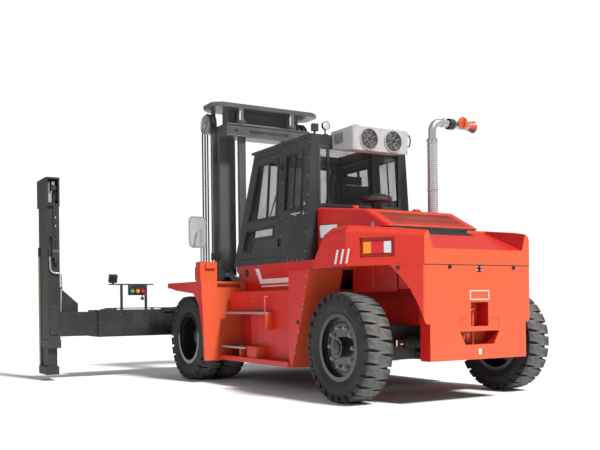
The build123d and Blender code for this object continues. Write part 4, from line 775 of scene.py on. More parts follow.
plate_half, inner_half = 0.128, 0.119
frame_low, inner_low, inner_high, frame_high = 1.024, 1.032, 1.110, 1.118
whole, inside = (-plate_half, plate_half), (inner_low, inner_high)
rear_plate, blank = bmesh.new(), bmesh.new()
for x, z in (
    (whole, (inner_high, frame_high)), (whole, (frame_low, inner_low)),
    ((-plate_half, -inner_half), inside), ((inner_half, plate_half), inside),
):
    plate(rear_plate, x, (rear_y - 0.001, rear_y + 0.004), z)
plate(rear_plate, (-0.017, 0.017), rear_skin, (0.478, 0.534))
plate(blank, (-inner_half, inner_half), (rear_y - 0.001, rear_y + 0.0032), inside)
finished(blank, "rear_plate_panel", "chassis", "paint")
finished(rear_plate, "rear_blank_plates", "chassis", "white", arris=0.0015, finish=finishes["stripe"])
repeated(
    "rear_plate_rivets", bolt,
    [
        ((x, rear_y + 0.004, z), rear_way)
        for x in (-inner_half + 0.002, inner_half - 0.002) for z in (inner_low + 0.002, inner_high - 0.002)
    ],
    "chassis", "steel", size=0.010,
)

foundry_lines = bmesh.new()
for side, sign in SIDES:
    side_plate(foundry_lines, sign, (0.150, 0.262), rear_skin, (0.842, 0.852))
    side_plate(foundry_lines, sign, (0.254, 0.262), rear_skin, (0.752, 0.852))
finished(foundry_lines, "foundry_lines", "chassis", "paint", arris=0.0015)

coupling_pin, pin_y = bmesh.new(), 2.675
bar(coupling_pin, (0, pin_y, 0.470), (0, pin_y, 0.915), 0.016, 20)
bar(coupling_pin, (0, pin_y, 0.905), (0, pin_y, 0.930), 0.030, 20, 0.024)
lever = ((0, pin_y, 0.925), (0, 2.720, 0.950), (0.095, 2.735, 0.905), (0.100, 2.735, 0.830))
bent_bar(coupling_pin, lever, 0.009, 12)
bar(coupling_pin, (0.100, 2.735, 0.845), (0.100, 2.735, 0.790), 0.014, 14)
finished(coupling_pin, "coupling_pin_and_lever", "chassis", "paint")

# Cover bars
# Three white slanted bars of reflective film on each shoulder of the cover, cut with clean edges and
# stuck on.


def film(work, outline, depths, place):
    """A flat outline given a thickness; place turns a flat place and a depth into a place."""
    skin(work, [[work.verts.new(place(y, z, out)) for y, z in outline] for out in depths])


def outward(sign, x):
    """The place of a flat outline on an upright side of the machine."""
    return lambda y, z, out: (sign * (x + out), y, z)


bars = bmesh.new()
for side, sign in SIDES:
    for start in (1.960, 2.060, 2.160):
        corners = [(start, 1.400), (start + 0.036, 1.400), (start + 0.086, 1.542), (start + 0.050, 1.542)]
        film(bars, corners, (-0.0002, 0.0010), outward(sign, cover_x))
finished(bars, "shoulder_bars", "chassis", "white", finish=finishes["stripe"])

# Tail lamps
# One housing a side in its pan: an amber turn lamp, a red stop lamp and a clear reversing lamp behind
# ribbed plastic lenses that clip into the housing.


def lens_finish(name, colour, glow=0.0):
    """Ribbed, glossy coloured lens plastic."""
    finish = coated(name, colour, (0.25, 0.2, 0.17), (0.06, 0.05, 0.1), 0.10, coat=0.8, patch=0.05)
    tree = finish.node_tree
    place = tree.nodes.new("ShaderNodeTexCoord")
    split = tree.nodes.new("ShaderNodeSeparateXYZ")
    tree.links.new(place.outputs["Object"], split.inputs[0])
    wave = add_math(tree, "SINE", add_math(tree, "MULTIPLY", split.outputs["Z"], 900.0), 0.0)
    bump = tree.nodes.new("ShaderNodeBump")
    bump.inputs["Distance"].default_value = 0.0015
    tree.links.new(wave, bump.inputs["Height"])
    shader = tree.nodes["Principled BSDF"]
    tree.links.new(bump.outputs["Normal"], shader.inputs["Normal"])
    shader.inputs["Emission Strength"].default_value = glow
    shader.inputs["Emission Color"].default_value = colour + (1,)
    return finish


lens_colours = {
    "amber": lens_finish("amber_lens", (0.85, 0.30, 0.02), 0.2),
    "red": lens_finish("red_lens", (0.60, 0.008, 0.030), 0.25),
    "clear": lens_finish("clear_lens", (0.72, 0.72, 0.72), 0.15),
    "green": lens_finish("green_lens", (0.05, 0.42, 0.10), 0.15),
}

lamp_x, lamp_z, lamp_height, lamp_depth = 0.990, 1.548, 0.125, 0.012
for side, sign in SIDES:
    middle_y, way = slanted(sign, lamp_x)
    way = Vector(way)
    along = Vector((-way.y, way.x, 0.0)) * sign
    face = Vector((sign * lamp_x, middle_y, lamp_z)) - way * lamp_depth
    for colour, start, end in (("amber", -0.141, -0.061), ("red", -0.060, 0.066), ("clear", 0.067, 0.141)):
        lens = bmesh.new()
        vs = plate(lens, (start, end), (-0.002, 0.010), (-lamp_height / 2 + 0.006, lamp_height / 2 - 0.006))
        turn = Matrix((along, way, Vector((0, 0, 1)))).transposed().to_4x4()
        bmesh.ops.transform(lens, matrix=Matrix.Translation(face) @ turn, verts=vs)
        finished(
            lens, f"tail_lens_{colour}_{side}", "chassis", "lamp", arris=0.004, finish=lens_colours[colour],
        )

# Steering rod boots
# Black rubber bellows clamped over each end of the steering ram's barrel; the polished rod slides
# inside them.

barrel_end, fold_pitch, fold_count, boot_end = 0.255, 0.030, 8, 0.506
boots = bmesh.new()
for side, sign in SIDES:
    folds = [(0.034, barrel_end), (0.058, barrel_end + 0.002)]
    for i in range(fold_count):
        crest = barrel_end + 0.013 + fold_pitch * i
        folds += [(0.068, crest), (0.048, crest + 0.014)]
    folds += [(0.044, boot_end - 0.001), (0.034, boot_end)]
    turned(boots, folds, (0, 2.190, 0.590), (sign, 0, 0), 40, band=True)
finished(boots, "steering_rod_boots", "chassis", "plastic", smooth=50.0)

# Splash panels
# Painted sheet steel that closes each rear wheel arch toward the engine, with a folded stiffening rib
# and a row of screws.

panel_x, panel_y, panel_low, panel_high = 0.646, (1.500, 2.280), 1.120, 1.560
splash, splash_screws = bmesh.new(), []
for side, sign in SIDES:
    side_plate(splash, sign, (panel_x - 0.006, panel_x), panel_y, (panel_low, panel_high))
    rib_z = (panel_low + 0.030, panel_high - 0.010)
    side_plate(splash, sign, (panel_x, panel_x + 0.022), (1.880, 1.905), rib_z)
    side_plate(splash, sign, (panel_x, panel_x + 0.016), panel_y, (panel_high - 0.015, panel_high))
    splash_screws += [
        ((sign * panel_x, y, 1.460), (sign, 0, 0)) for y in (1.560, 1.740, 1.960, 2.140, 2.240)
    ]
finished(splash, "splash_panels", "chassis", "paint", arris=0.0015)
repeated("splash_panel_screws", bolt, splash_screws, "chassis", "rim", size=0.024, spin=1.0)

# Window rubbers
# Each pane sits in a black rubber section that laps the steel outside and the glass inside, mitred at
# the corners; the steel wall leans inwards as it rises.

cab_lean, cab_foot_x, cab_foot_z = 100 / 1490, 0.785, 1.510
cab_rear_y, pillar_slope, pillar_foot_y = 0.745, 460 / 1490, -1.145


def cab_side(sign, y, z, out=0.0):
    """A place on the leaning side of the cab."""
    return (sign * (cab_foot_x - cab_lean * (z - cab_foot_z) + out), y, z)


def pillar_y(z):
    """The front edge of the cab's side at a height."""
    return pillar_foot_y + pillar_slope * (z - cab_foot_z)


def drawn_in(outline, distance):
    """An outline of flat places moved inwards by a distance, mitred at its corners."""
    area = sum(a[0] * b[1] - b[0] * a[1] for a, b in zip(outline, outline[1:] + outline[:1]))
    turn = 1 if area > 0 else -1
    moved = []
    for before, here, after in zip(outline[-1:] + outline[:-1], outline, outline[1:] + outline[:1]):
        first = (Vector(here) - Vector(before)).normalized()
        second = (Vector(after) - Vector(here)).normalized()
        inward = [Vector((-way.y, way.x)) * turn for way in (first, second)]
        middle = inward[0] + inward[1]
        moved.append(Vector(here) + middle * (distance / (middle.dot(inward[0]))))
    return [tuple(place) for place in moved]


def rubber(work, outline, place, inner=0.026, outer=0.008, thick=0.007):
    """A flat section round an outline; place turns a flat place and a height into a place."""
    skin(work, [
        [work.verts.new(place(u, v, up)) for u, v in drawn_in(outline, shift)]
        for shift, up in ((-outer, -0.002), (-outer, thick), (inner, thick), (inner, -0.030))
    ], band=True)


door_rear_y, pillar_width = 0.075, 0.170
pane_low, pane_high = 2.080, 2.820
upper_window = [
    (pillar_y(pane_low) + pillar_width, pane_low), (pillar_y(pane_high) + pillar_width, pane_high),
    (door_rear_y - 0.090, pane_high), (door_rear_y - 0.090, pane_low),
]
foot_low, foot_step, foot_high = 1.680, 1.840, 1.980
lower_window = [
    (pillar_y(foot_low) + pillar_width, foot_low), (pillar_y(foot_high) + pillar_width, foot_high),
    (door_rear_y - 0.140, foot_high), (door_rear_y - 0.140, foot_step),
    (pillar_y(foot_step) + 0.450, foot_step), (pillar_y(foot_low) + 0.390, foot_low),
]
side_window = [(door_rear_y + 0.080, 2.120), (door_rear_y + 0.080, 2.830), (0.575, 2.830), (0.575, 2.120)]
for side, sign in SIDES:
    for name, outlines, body in (
        ("door", (upper_window, lower_window), f"door_{side}"), ("side", (side_window,), "chassis"),
    ):
        work = bmesh.new()
        for outline in outlines:
            rubber(work, outline, lambda u, v, up: cab_side(sign, u, v, up))
        finished(work, f"{name}_window_rubber_{side}", body, "plastic", arris=0.002)

work = bmesh.new()
rear_low, rear_high = 2.160, 2.860
for low, high in ((-0.600, -0.260), (-0.200, 0.600)):
    rubber(
        work, [(low, rear_low), (low, rear_high), (high, rear_high), (high, rear_low)],
        lambda u, v, up: (u, cab_rear_y + up, v),
    )
plate(work, (0.446, 0.476), (cab_rear_y - 0.020, cab_rear_y + 0.012), (2.165, 2.855))
finished(work, "rear_window_rubbers", "chassis", "plastic", arris=0.002)

work = bmesh.new()
rubber(
    work, [(-0.560, 1.640), (-0.560, 2.880), (0.560, 2.880), (0.560, 1.640)],
    lambda u, v, up: (u, pillar_y(v) - up, v),
)
finished(work, "front_window_rubber", "chassis", "plastic", arris=0.002)

# Door furniture
# A dark sliding-pane bar across each door's upper window, a bright pull handle and lock on the cab's
# side, dark seams between its sheets, and rows of small screws along its foot and its pillars.

handle_z, handle_out, lock_y, lock_z = 2.075, 0.040, 0.673, 2.184
for side, sign in SIDES:
    bars = bmesh.new()
    split_y = (upper_window[1][0] + upper_window[2][0]) / 2
    for y in (split_y, split_y + 0.030):
        ends = [cab_side(sign, y, z, -0.012) for z in (pane_low + 0.005, pane_high - 0.005)]
        bar(bars, ends[0], ends[1], 0.010, 10)
    finished(bars, f"door_pane_bars_{side}", f"door_{side}", "plastic")
    pane_bar = bmesh.new()
    bar(pane_bar, cab_side(sign, 0.372, 2.125, -0.012), cab_side(sign, 0.372, 2.825, -0.012), 0.011, 10)
    finished(pane_bar, f"side_pane_bar_{side}", "chassis", "plastic")

    handle = bmesh.new()
    for first, last, radius, sides in (
        ((0.450, -0.004), (0.450, handle_out), 0.011, 12), ((0.450, -0.002), (0.450, 0.006), 0.024, 16),
        ((0.637, -0.004), (0.637, handle_out), 0.011, 12), ((0.637, -0.002), (0.637, 0.006), 0.024, 16),
        ((0.436, handle_out), (0.651, handle_out), 0.013, 14),
    ):
        ends = [cab_side(sign, y, handle_z, out) for y, out in (first, last)]
        bar(handle, ends[0], ends[1], radius, sides)
    for low, high, radius, sides in ((-0.004, 0.016, 0.026, 20), (0.014, 0.022, 0.014, 16)):
        ends = [cab_side(sign, lock_y, lock_z, out) for out in (low, high)]
        bar(handle, ends[0], ends[1], radius, sides)
    finished(handle, f"cab_handle_{side}", "chassis", "chrome")

    seam = bmesh.new()
    for first, last in (
        ((0.595, 2.039), (0.251, 1.561)), ((0.595, 2.039), (0.700, 2.039)), ((0.136, 1.545), (0.136, 2.960)),
    ):
        first, last = Vector(first), Vector(last)
        wide = Vector((first.y - last.y, last.x - first.x)).normalized() * 0.0035
        outline = (first - wide, last - wide, last + wide, first + wide)
        film(seam, outline, (-0.003, 0.0012), lambda y, z, out: cab_side(sign, y, z, out))
    finished(seam, f"cab_panel_seams_{side}", "chassis", "plastic")

    side_way = Vector((sign, 0, cab_lean)).normalized()
    foot_places = [(y, 1.528) for y in (0.18, 0.30, 0.42, 0.54, 0.66)]
    pillar_places = [(y, z) for y in (0.105, 0.715) for z in (1.62, 1.84, 2.06, 2.28, 2.50, 2.72, 2.90)]
    repeated(
        f"cab_foot_screws_{side}", bolt,
        [(cab_side(sign, y, z), side_way) for y, z in foot_places + pillar_places],
        "chassis", "steel", size=0.016, spin=1.0,
    )
repeated(
    "cab_rear_screws", bolt,
    [((x, cab_rear_y, z), (0, 1, 0)) for x in (-0.655, 0.655) for z in (1.90, 2.08, 2.30, 2.52, 2.74)],
    "chassis", "plastic", size=0.016, spin=1.0,
)

# Wipers
# A bent steel arm and a rubber blade on the front window, parked to one side.

wipers = bmesh.new()
foot_y, foot_height = pillar_y(2.900), 2.905
bar(wipers, (0.0, foot_y + 0.004, foot_height), (0.0, foot_y - 0.030, foot_height), 0.022, 16)
bar(wipers, (0.0, foot_y - 0.022, foot_height), (0.30, pillar_y(2.35) - 0.022, 2.35), 0.007, 8, 0.005)
bar(wipers, (0.24, pillar_y(2.68) - 0.013, 2.68), (0.35, pillar_y(2.05) - 0.013, 2.05), 0.008, 8)
finished(wipers, "wipers", "chassis", "plastic")

# Roof lamps
# An amber rotating beacon on a black foot, and two round work lamps in black moulded shells with clear
# ribbed lenses, each bolted to the roof by a short stalk.

beacon_place, roof_z = (-0.040, 0.595, 3.000), 3.000
foot = bmesh.new()
turned(
    foot, [(0.058, 0.0), (0.058, 0.012), (0.022, 0.018), (0.020, 0.100), (0.050, 0.112), (0.046, 0.126)],
    beacon_place, (0, 0, 1), 36,
)
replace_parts(finished(foot, "beacon_foot", "chassis", "plastic"), "roof_lamps")
dome = bmesh.new()
turned(
    dome, [(0.045, 0.124), (0.054, 0.130), (0.054, 0.168), (0.049, 0.186), (0.036, 0.198), (0.016, 0.203),
           (0.003, 0.204)],
    beacon_place, (0, 0, 1), 40,
)
finished(dome, "beacon_dome", "chassis", "lamp", finish=lens_colours["amber"])

for side, sign in SIDES:
    x, y, z = sign * 0.490, 0.700, 3.105
    shell, glass = bmesh.new(), bmesh.new()
    turned(
        shell, [(0.018, 0.0), (0.036, 0.006), (0.049, 0.026), (0.050, 0.062), (0.046, 0.062), (0.044, 0.050),
                (0.010, 0.048)],
        (x, y, z), (0, 1, 0), 32,
    )
    bar(shell, (x, y + 0.03, roof_z - 0.001), (x, y + 0.03, z - 0.044), 0.009, 12)
    plate(shell, (x - 0.025, x + 0.025), (y + 0.008, y + 0.056), (roof_z - 0.001, roof_z + 0.006))
    finished(shell, f"work_lamp_shell_{side}", "chassis", "plastic")
    turned(glass, [(0.045, 0.052), (0.045, 0.056), (0.034, 0.061), (0.004, 0.063)], (x, y, z), (0, 1, 0), 32)
    finished(glass, f"work_lamp_glass_{side}", "chassis", "lens", finish=lens_colours["clear"])

# Cooling unit
# Wire guards of welded rings and spokes over the two fans with their moulded blades, and a field of
# punched holes in each side of the white casing, drawn as dark rounds of painted shade.

fan_y, fan_z, spoke_y = 1.199, 2.900, 1.193
guards, fans = bmesh.new(), bmesh.new()
for fan_x in (0.181, -0.166):
    for radius in (0.122, 0.104, 0.086, 0.068, 0.050, 0.032):
        wire = round_section(radius, 0.0022, 6)
        turned(guards, wire, (fan_x, fan_y - 0.004, fan_z), (0, 1, 0), 40, band=True)
    for i in range(8):
        a = 2 * math.pi * (i + 0.5) / 8
        inner, outer = (
            (fan_x + reach * math.cos(a), spoke_y, fan_z + reach * math.sin(a)) for reach in (0.026, 0.126)
        )
        bar(guards, inner, outer, 0.0026, 6)
    for ring in (
        [(0.1175, -0.055), (0.1175, 0.0), (0.112, 0.0), (0.112, -0.0545)],
        [(0.116, -0.0600), (0.116, -0.0575), (0.036, -0.0575), (0.036, -0.0600)],
    ):
        turned(fans, ring, (fan_x, fan_y, fan_z), (0, 1, 0), 44, band=True)
    boss = [(0.036, -0.059), (0.036, -0.008), (0.030, -0.004), (0.004, -0.0035)]
    turned(fans, boss, (fan_x, fan_y, fan_z), (0, 1, 0), 28)
    for i in range(6):
        vs = plate(fans, (0.034, 0.110), (-0.0075, 0.0075), (-0.021, 0.021))
        pitch_turn = Matrix.Rotation(math.radians(35), 4, "X")
        around = Matrix.Translation((fan_x, fan_y - 0.030, fan_z)) @ Matrix.Rotation(math.pi * i / 3, 4, "Y")
        bmesh.ops.transform(fans, matrix=around @ pitch_turn, verts=vs)
finished(guards, "fan_guards", "chassis", "steel")
finished(fans, "fan_blades", "chassis", "plastic")


def build_hole_shade(work):
    """A punched hole, drawn as a dark round: painted shade where the hole is."""
    bar(work, (0, 0, -0.02), (0, 0, 0.06), 0.5, 8)


hole = shape("hole_form", build_hole_shade)
vents = []
for side, sign in SIDES:
    for i in range(12):
        for j in range(9):
            if i + j > 1:
                z = 2.878 + 0.014 * j + (0.007 if i % 2 else 0.0)
                vents.append(((sign * 0.400, 0.790 + 0.016 * i, z), (sign, 0, 0)))
# The vents are dark rounds: painted shade for the punched holes.
repeated("cooling_unit_vents", hole, vents, "chassis", "plastic", size=0.0125)
casing_screws = [(x, z) for x in (-0.372, 0.372) for z in (2.795, 3.015)] + [(0.007, 3.015)]
repeated(
    "cooling_unit_screws", bolt, [((x, 1.185, z), (0, 1, 0)) for x, z in casing_screws],
    "chassis", "steel", size=0.014, spin=1.0,
)

# Small lamps on the roof
# Square black flood lamps on bent feet at the rear corners of the roof, outboard of the work lamps,
# and the cooling unit's drain hose down its right end.

for side, sign in SIDES:
    x, y, z = sign * 0.612, 0.690, 3.012
    box = bmesh.new()
    plate(box, (x - 0.036, x + 0.036), (y - 0.026, y + 0.020), (z + 0.030, z + 0.112))
    plate(box, (x - 0.041, x + 0.041), (y + 0.018, y + 0.026), (z + 0.026, z + 0.117))
    plate(box, (x - 0.010, x + 0.010), (y - 0.012, y + 0.012), (z - 0.013, z + 0.032))
    finished(box, f"flood_lamp_{side}", "chassis", "plastic", arris=0.003)

drain = bmesh.new()
drain_turns = (
    (-0.396, 1.120, 3.005), (-0.424, 1.165, 2.995), (-0.430, 1.180, 2.940), (-0.424, 1.172, 2.870),
    (-0.396, 1.130, 2.850),
)
bent_bar(drain, drain_turns, 0.0085, 10)
finished(drain, "cooling_unit_drain", "chassis", "plastic")

# Steps
# Two bright punched treads with a folded lip stand out from the tank on painted brackets, and the
# cheek under the upper one is pierced for the boot's grip. The treads' grip holes have dark eyes and the
# cheek's holes are dark rounds, both painted shade.


def build_tread_hole(work):
    """A raised round grip hole in a tread: its dark eye, which is painted shade in the hole, and its bright
    collar.
    """
    collar = [(0.5, -0.2), (0.5, 0.10), (0.40, 0.16), (0.32, 0.10), (0.32, -0.2)]
    turned(work, collar, (0, 0, 0), (0, 0, 1), 10)


tread_hole = shape("tread_hole_form", build_tread_hole)
hole_pitch, tread_thick, upper_z, lower_z = 0.034, 0.004, 0.906, 0.481
for side, sign in SIDES:
    treads = bmesh.new()
    for x, y, z in (
        ((0.895, 1.174), (-0.655, -0.117), upper_z), ((1.063, 1.174), (-0.118, 0.437), upper_z),
        ((0.895, 1.214), (-0.672, -0.117), lower_z), ((1.063, 1.214), (-0.118, 0.020), lower_z),
    ):
        side_plate(treads, sign, x, y, (z, z + tread_thick))
        side_plate(treads, sign, (x[1] - tread_thick, x[1]), y, (z - 0.022, z + tread_thick))
    finished(treads, f"step_treads_{side}", "chassis", "steel", arris=0.0012)
    places = []
    for z, far, y_end in ((upper_z, 1.150, 0.42), (lower_z, 1.190, 0.0)):
        y = -0.640
        while y < y_end:
            x = far
            while x > (0.92 if y < -0.13 else 1.085):
                shift = hole_pitch / 2 if round((far - x) / hole_pitch) % 2 else 0.0
                places.append(((sign * x, y + shift, z + tread_thick), (0, 0, 1)))
                x -= hole_pitch
            y += 0.036
    # The grip holes' dark eyes are painted shade.
    repeated(f"step_grip_holes_{side}", tread_hole, places, "chassis", "axle", size=0.018)

    brackets = bmesh.new()
    side_plate(brackets, sign, (1.063, 1.200), (0.022, 0.262), (0.359, 0.498))
    side_plate(brackets, sign, (1.063, 1.165), (0.405, 0.437), (0.700, 0.905))
    side_plate(brackets, sign, (1.063, 1.168), (-0.110, 0.405), (0.885, 0.905))
    finished(brackets, f"step_brackets_{side}", "chassis", "paint", arris=0.004)
    cheek = []
    for i in range(7):
        for j in range(16):
            z = 0.86 - 0.024 * j - (0.012 if i % 2 else 0)
            cheek.append(((sign * 1.066, -0.098 + 0.024 * i, z), (sign, 0, 0)))
    # The cheek's holes are dark rounds: painted shade.
    repeated(f"cheek_holes_{side}", hole, cheek, "chassis", "axle", size=0.009)

# Body stripe and side fittings
# White film bent in an L runs along the body under the cab with a thin line below it, and small
# screws hold the arch edge, the tank's face and the body's top edge.

stripe_x, arch_x, tank_x = 0.7805, 1.2105, 1.0655
arch_edge = (1.455, 1.425, 1.392, 1.358, 1.322, 1.286, 1.250, 1.214)
tank_places = ((0.516, 0.968), (0.507, 0.604), (0.98, 1.10), (-0.05, 1.10), (0.98, 0.44))
for side, sign in SIDES:
    stripe = bmesh.new()
    for outline in (
        [(-0.533, 1.460), (-0.430, 1.460), (-0.345, 1.320), (0.535, 1.322), (0.535, 1.262), (-0.395, 1.262)],
        [(-0.372, 1.238), (0.533, 1.240), (0.533, 1.222), (-0.355, 1.220)],
    ):
        film(stripe, outline, (-0.003, 0.0008), outward(sign, stripe_x))
    finished(stripe, f"body_stripe_{side}", "chassis", "white", finish=finishes["stripe"])

    body_way = (sign, 0, 0)
    repeated(
        f"side_screws_{side}", bolt,
        [((sign * arch_x, y, 1.300 - 0.120 * i), body_way) for i, y in enumerate(arch_edge)]
        + [((sign * tank_x, y, z), body_way) for y, z in tank_places]
        + [((sign * stripe_x, y, 1.488), body_way) for y in (-0.95, -0.35, 0.30, 0.95)],
        "chassis", "steel", size=0.019, spin=1.0,
    )
    side_fittings = bmesh.new()
    turned(
        side_fittings, [(0.050, -0.002), (0.050, 0.004), (0.040, 0.006), (0.036, -0.002)],
        (sign * 0.780, -0.773, 1.416), body_way, 28, band=True,
    )
    bar(side_fittings, (sign * 0.776, -0.773, 1.416), (sign * 0.7815, -0.773, 1.416), 0.038, 28)
    bar(side_fittings, (sign * 1.209, 1.262, 0.802), (sign * 1.222, 1.262, 0.802), 0.022, 20)
    finished(side_fittings, f"side_grommets_{side}", "chassis", "plastic")

    # The filler's cap on each tank, moulded in black plastic.
    filler = bmesh.new()
    turned(
        filler, [(0.062, 0.0), (0.062, 0.020), (0.052, 0.028), (0.052, 0.050), (0.044, 0.058),
                 (0.004, 0.060)],
        (sign * 0.930, 0.780, 1.1625), (0, 0, 1), 32,
    )
    finished(filler, f"tank_filler_{side}", "chassis", "plastic")

# Mirrors
# Rounded moulded shells clamped to tube stalks that are bolted on the front fenders, with silvered
# glass that faces back; the glass is partly metallic, and its pale diffuse share is a painted reflection of
# the sky.

mirror_x, mirror_z, mirror_y, mirror_corner = (1.262, 1.510), (1.748, 2.162), -1.010, 0.062
stalk_x, stalk_y = 1.400, -0.845


def mirror_loop(work, sign, inset, corner, y):
    """The mirror's rounded outline at y, drawn in by an inset."""
    low_x, high_x = mirror_x[0] + inset + corner, mirror_x[1] - inset - corner
    low_z, high_z = mirror_z[0] + inset + corner, mirror_z[1] - inset - corner
    loop = []
    for x, z, start in ((high_x, high_z, 0), (low_x, high_z, 90), (low_x, low_z, 180), (high_x, low_z, 270)):
        for i in range(6):
            a = math.radians(start + 18 * i)
            loop.append(work.verts.new((sign * (x + corner * math.cos(a)), y, z + corner * math.sin(a))))
    return loop


for side, sign in SIDES:
    shell, glass = bmesh.new(), bmesh.new()
    skin(shell, [
        mirror_loop(shell, sign, inset, mirror_corner - inset * 0.5, mirror_y + far)
        for inset, far in (
            (0.030, -0.004), (0.004, 0.006), (0.0, 0.018), (0.002, 0.026), (0.010, 0.0275), (0.014, 0.0235),
        )
    ])
    skin(glass, [mirror_loop(glass, sign, 0.016, mirror_corner, mirror_y + far) for far in (0.0218, 0.026)])
    for z in (1.955, 1.965):
        bar(shell, (sign * stalk_x, mirror_y, z), (sign * stalk_x, stalk_y - 0.005, z), 0.009, 12)
    bar(shell, (sign * stalk_x, stalk_y, 1.555), (sign * stalk_x, stalk_y, 1.975), 0.013, 14)
    bar(shell, (sign * stalk_x, stalk_y, 1.553), (sign * stalk_x, stalk_y, 1.566), 0.028, 20)
    stalk = finished(shell, f"mirror_shell_{side}", "chassis", "plastic", finish=finishes["mirror"])
    if sign == 1:
        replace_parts(stalk, "mirrors")
    finished(glass, f"mirror_glass_{side}", "chassis", "mirror", finish=finishes["glazed"])

# Hood fittings
# A blank pale plate in a black frame glued on each side of the hood, and two flush latches turned
# from steel.

hood_x = 0.629
for side, sign in SIDES:
    badge, frame_work, latch = bmesh.new(), bmesh.new(), bmesh.new()
    frame_outline = [(0.800, 1.925), (1.205, 1.905), (1.150, 1.752), (0.820, 1.752)]
    film(frame_work, frame_outline, (-0.004, 0.003), outward(sign, hood_x))
    plate_outline = [(0.812, 1.914), (1.188, 1.895), (1.142, 1.764), (0.831, 1.764)]
    film(badge, plate_outline, (0.001, 0.006), outward(sign, hood_x))
    finished(frame_work, f"hood_plate_frame_{side}", "chassis", "plastic", arris=0.001)
    finished(badge, f"hood_plate_{side}", "chassis", "white", arris=0.0015, finish=finishes["stripe"])
    for y in (1.420, 1.860):
        turned(
            latch, [(0.030, -0.002), (0.030, 0.004), (0.026, 0.006), (0.010, 0.006), (0.009, 0.004),
                    (0.002, 0.004)],
            (sign * hood_x, y, 1.835), (sign, 0, 0), 28,
        )
    finished(latch, f"lid_latches_{side}", "hood_lid", "steel")

# Hood grille
# The lid's sloping rear panel is punched with rows of round cooling holes, drawn as dark rounds of painted
# shade; a dark strip, painted shade, fills the gap at its rear edge, and a duct of moulded slats stands on
# the deck behind it.

slope, grille_pitch, grille_top_y = math.atan2(0.205, 0.405), 0.0235, 1.790
cooling = []
for row in range(13):
    y = grille_top_y + grille_pitch * row
    z = 2.020 - (y - 1.705) * math.tan(slope) + 0.001
    for i in range(44):
        x = -0.505 + grille_pitch * i + (0.0117 if row % 2 else 0.0)
        cooling.append(((x, y, z), (0, math.sin(slope), math.cos(slope))))
# The grille's holes are dark rounds: painted shade.
repeated("hood_grille_holes", hole, cooling, "hood_lid", "axle", size=0.0150)
# A dark strip in the gap at the lid's rear edge: painted shade.
gap = bmesh.new()
plate(gap, (-0.585, 0.585), (2.106, 2.1125), (1.784, 1.806))
finished(gap, "hood_rear_seal", "hood_lid", "plastic", arris=0.002)
duct, duct_x = bmesh.new(), (-0.400, 0.470)
plate(duct, duct_x, (2.1745, 2.178), (1.757, 1.7785))
deck_fall = (1.755 - 1.525) / 0.615
for i in range(6):
    y = 2.180 + 0.021 * i
    for vert in plate(duct, duct_x, (y, y + (0.015 if i else 0.020)), (0.0, 0.004)):
        vert.co.z += 1.754 - (vert.co.y - 2.175) * deck_fall
finished(duct, "cooling_duct_slats", "chassis", "plastic")

# Exhaust stack
# Polished stainless heat guard punched with fine holes round the silencer, band clamps, a plain grey
# elbow, and the spark arrester's red-painted disc and flared outlet.

stack_x, stack_y, elbow_z, guard_radius = -0.780, 1.165, 3.200, 0.0605
guard = bmesh.new()
turned(
    guard, [(0.0575, 1.760), (guard_radius, 1.762), (guard_radius, 2.968), (0.0575, 2.970)],
    (stack_x, stack_y, 0), (0, 0, 1), 48, band=True,
)
finished(guard, "exhaust_guard", "chassis", "steel", finish=finishes["guard"])
punched = []
for row in range(50):
    for i in range(20):
        a = 2 * math.pi * (i + 0.5 * (row % 2)) / 20
        way = Vector((math.cos(a), math.sin(a), 0))
        punched.append((Vector((stack_x, stack_y, 1.790 + 0.0232 * row)) + way * guard_radius, way))
# The guard's punched holes are dark rounds: painted shade.
repeated("exhaust_guard_holes", hole, punched, "chassis", "plastic", size=0.0122)
bands = bmesh.new()
for z in (1.775, 2.370, 2.955):
    band_section = [(0.060, -0.011), (0.0645, -0.010), (0.0645, 0.010), (0.060, 0.011)]
    turned(bands, band_section, (stack_x, stack_y, z), (0, 0, 1), 48, band=True)
    plate(
        bands, (stack_x + 0.060, stack_x + 0.082), (stack_y - 0.009, stack_y + 0.009),
        (z - 0.009, z + 0.009),
    )
for x in (stack_x - 0.150, stack_x - 0.470, stack_x - 0.560):
    band_section = [(0.045, -0.009), (0.0505, -0.008), (0.0505, 0.008), (0.045, 0.009)]
    turned(bands, band_section, (x, stack_y, elbow_z), (1, 0, 0), 40, band=True)
    bar(bands, (x, stack_y + 0.040, elbow_z + 0.046), (x, stack_y + 0.066, elbow_z + 0.046), 0.006, 8)
finished(bands, "exhaust_bands", "chassis", "steel", arris=0.0008)
collar = bmesh.new()
turned(
    collar, [(0.046, 0.0), (0.0655, 0.0), (0.0665, 0.010), (0.0665, 0.070), (0.0655, 0.080), (0.046, 0.080)],
    (stack_x - 0.330, stack_y, elbow_z), (1, 0, 0), 40, band=True,
)
finished(collar, "exhaust_collar", "chassis", "plastic")
arrester, disc_x, disc_y = bmesh.new(), stack_x - 0.420, stack_y + 0.105
turned(
    arrester, [(0.020, -0.001), (0.074, -0.001), (0.076, 0.004), (0.074, 0.010), (0.050, 0.012),
               (0.046, 0.018), (0.012, 0.019)],
    (disc_x, stack_y + 0.090, 3.210), (0, 1, 0), 40,
)
plate(arrester, (disc_x - 0.004, disc_x + 0.004), (disc_y, disc_y + 0.023), (3.160, 3.262))
bar(arrester, (disc_x - 0.040, disc_y, 3.210), (disc_x + 0.040, disc_y, 3.210), 0.010, 12)
turned(
    arrester, [(0.044, 0.005), (0.0485, 0.000), (0.050, -0.010), (0.074, -0.088), (0.0755, -0.092),
               (0.072, -0.094), (0.046, -0.020)],
    (stack_x - 0.578, stack_y, elbow_z), (1, 0, 0), 44, band=True,
)
finished(arrester, "spark_arrester", "chassis", "paint", arris=0.0008)

# Pre-cleaner
# A black moulded bowl with inlet vanes round its skirt stands over a stub pipe, held by a band clamp
# below.

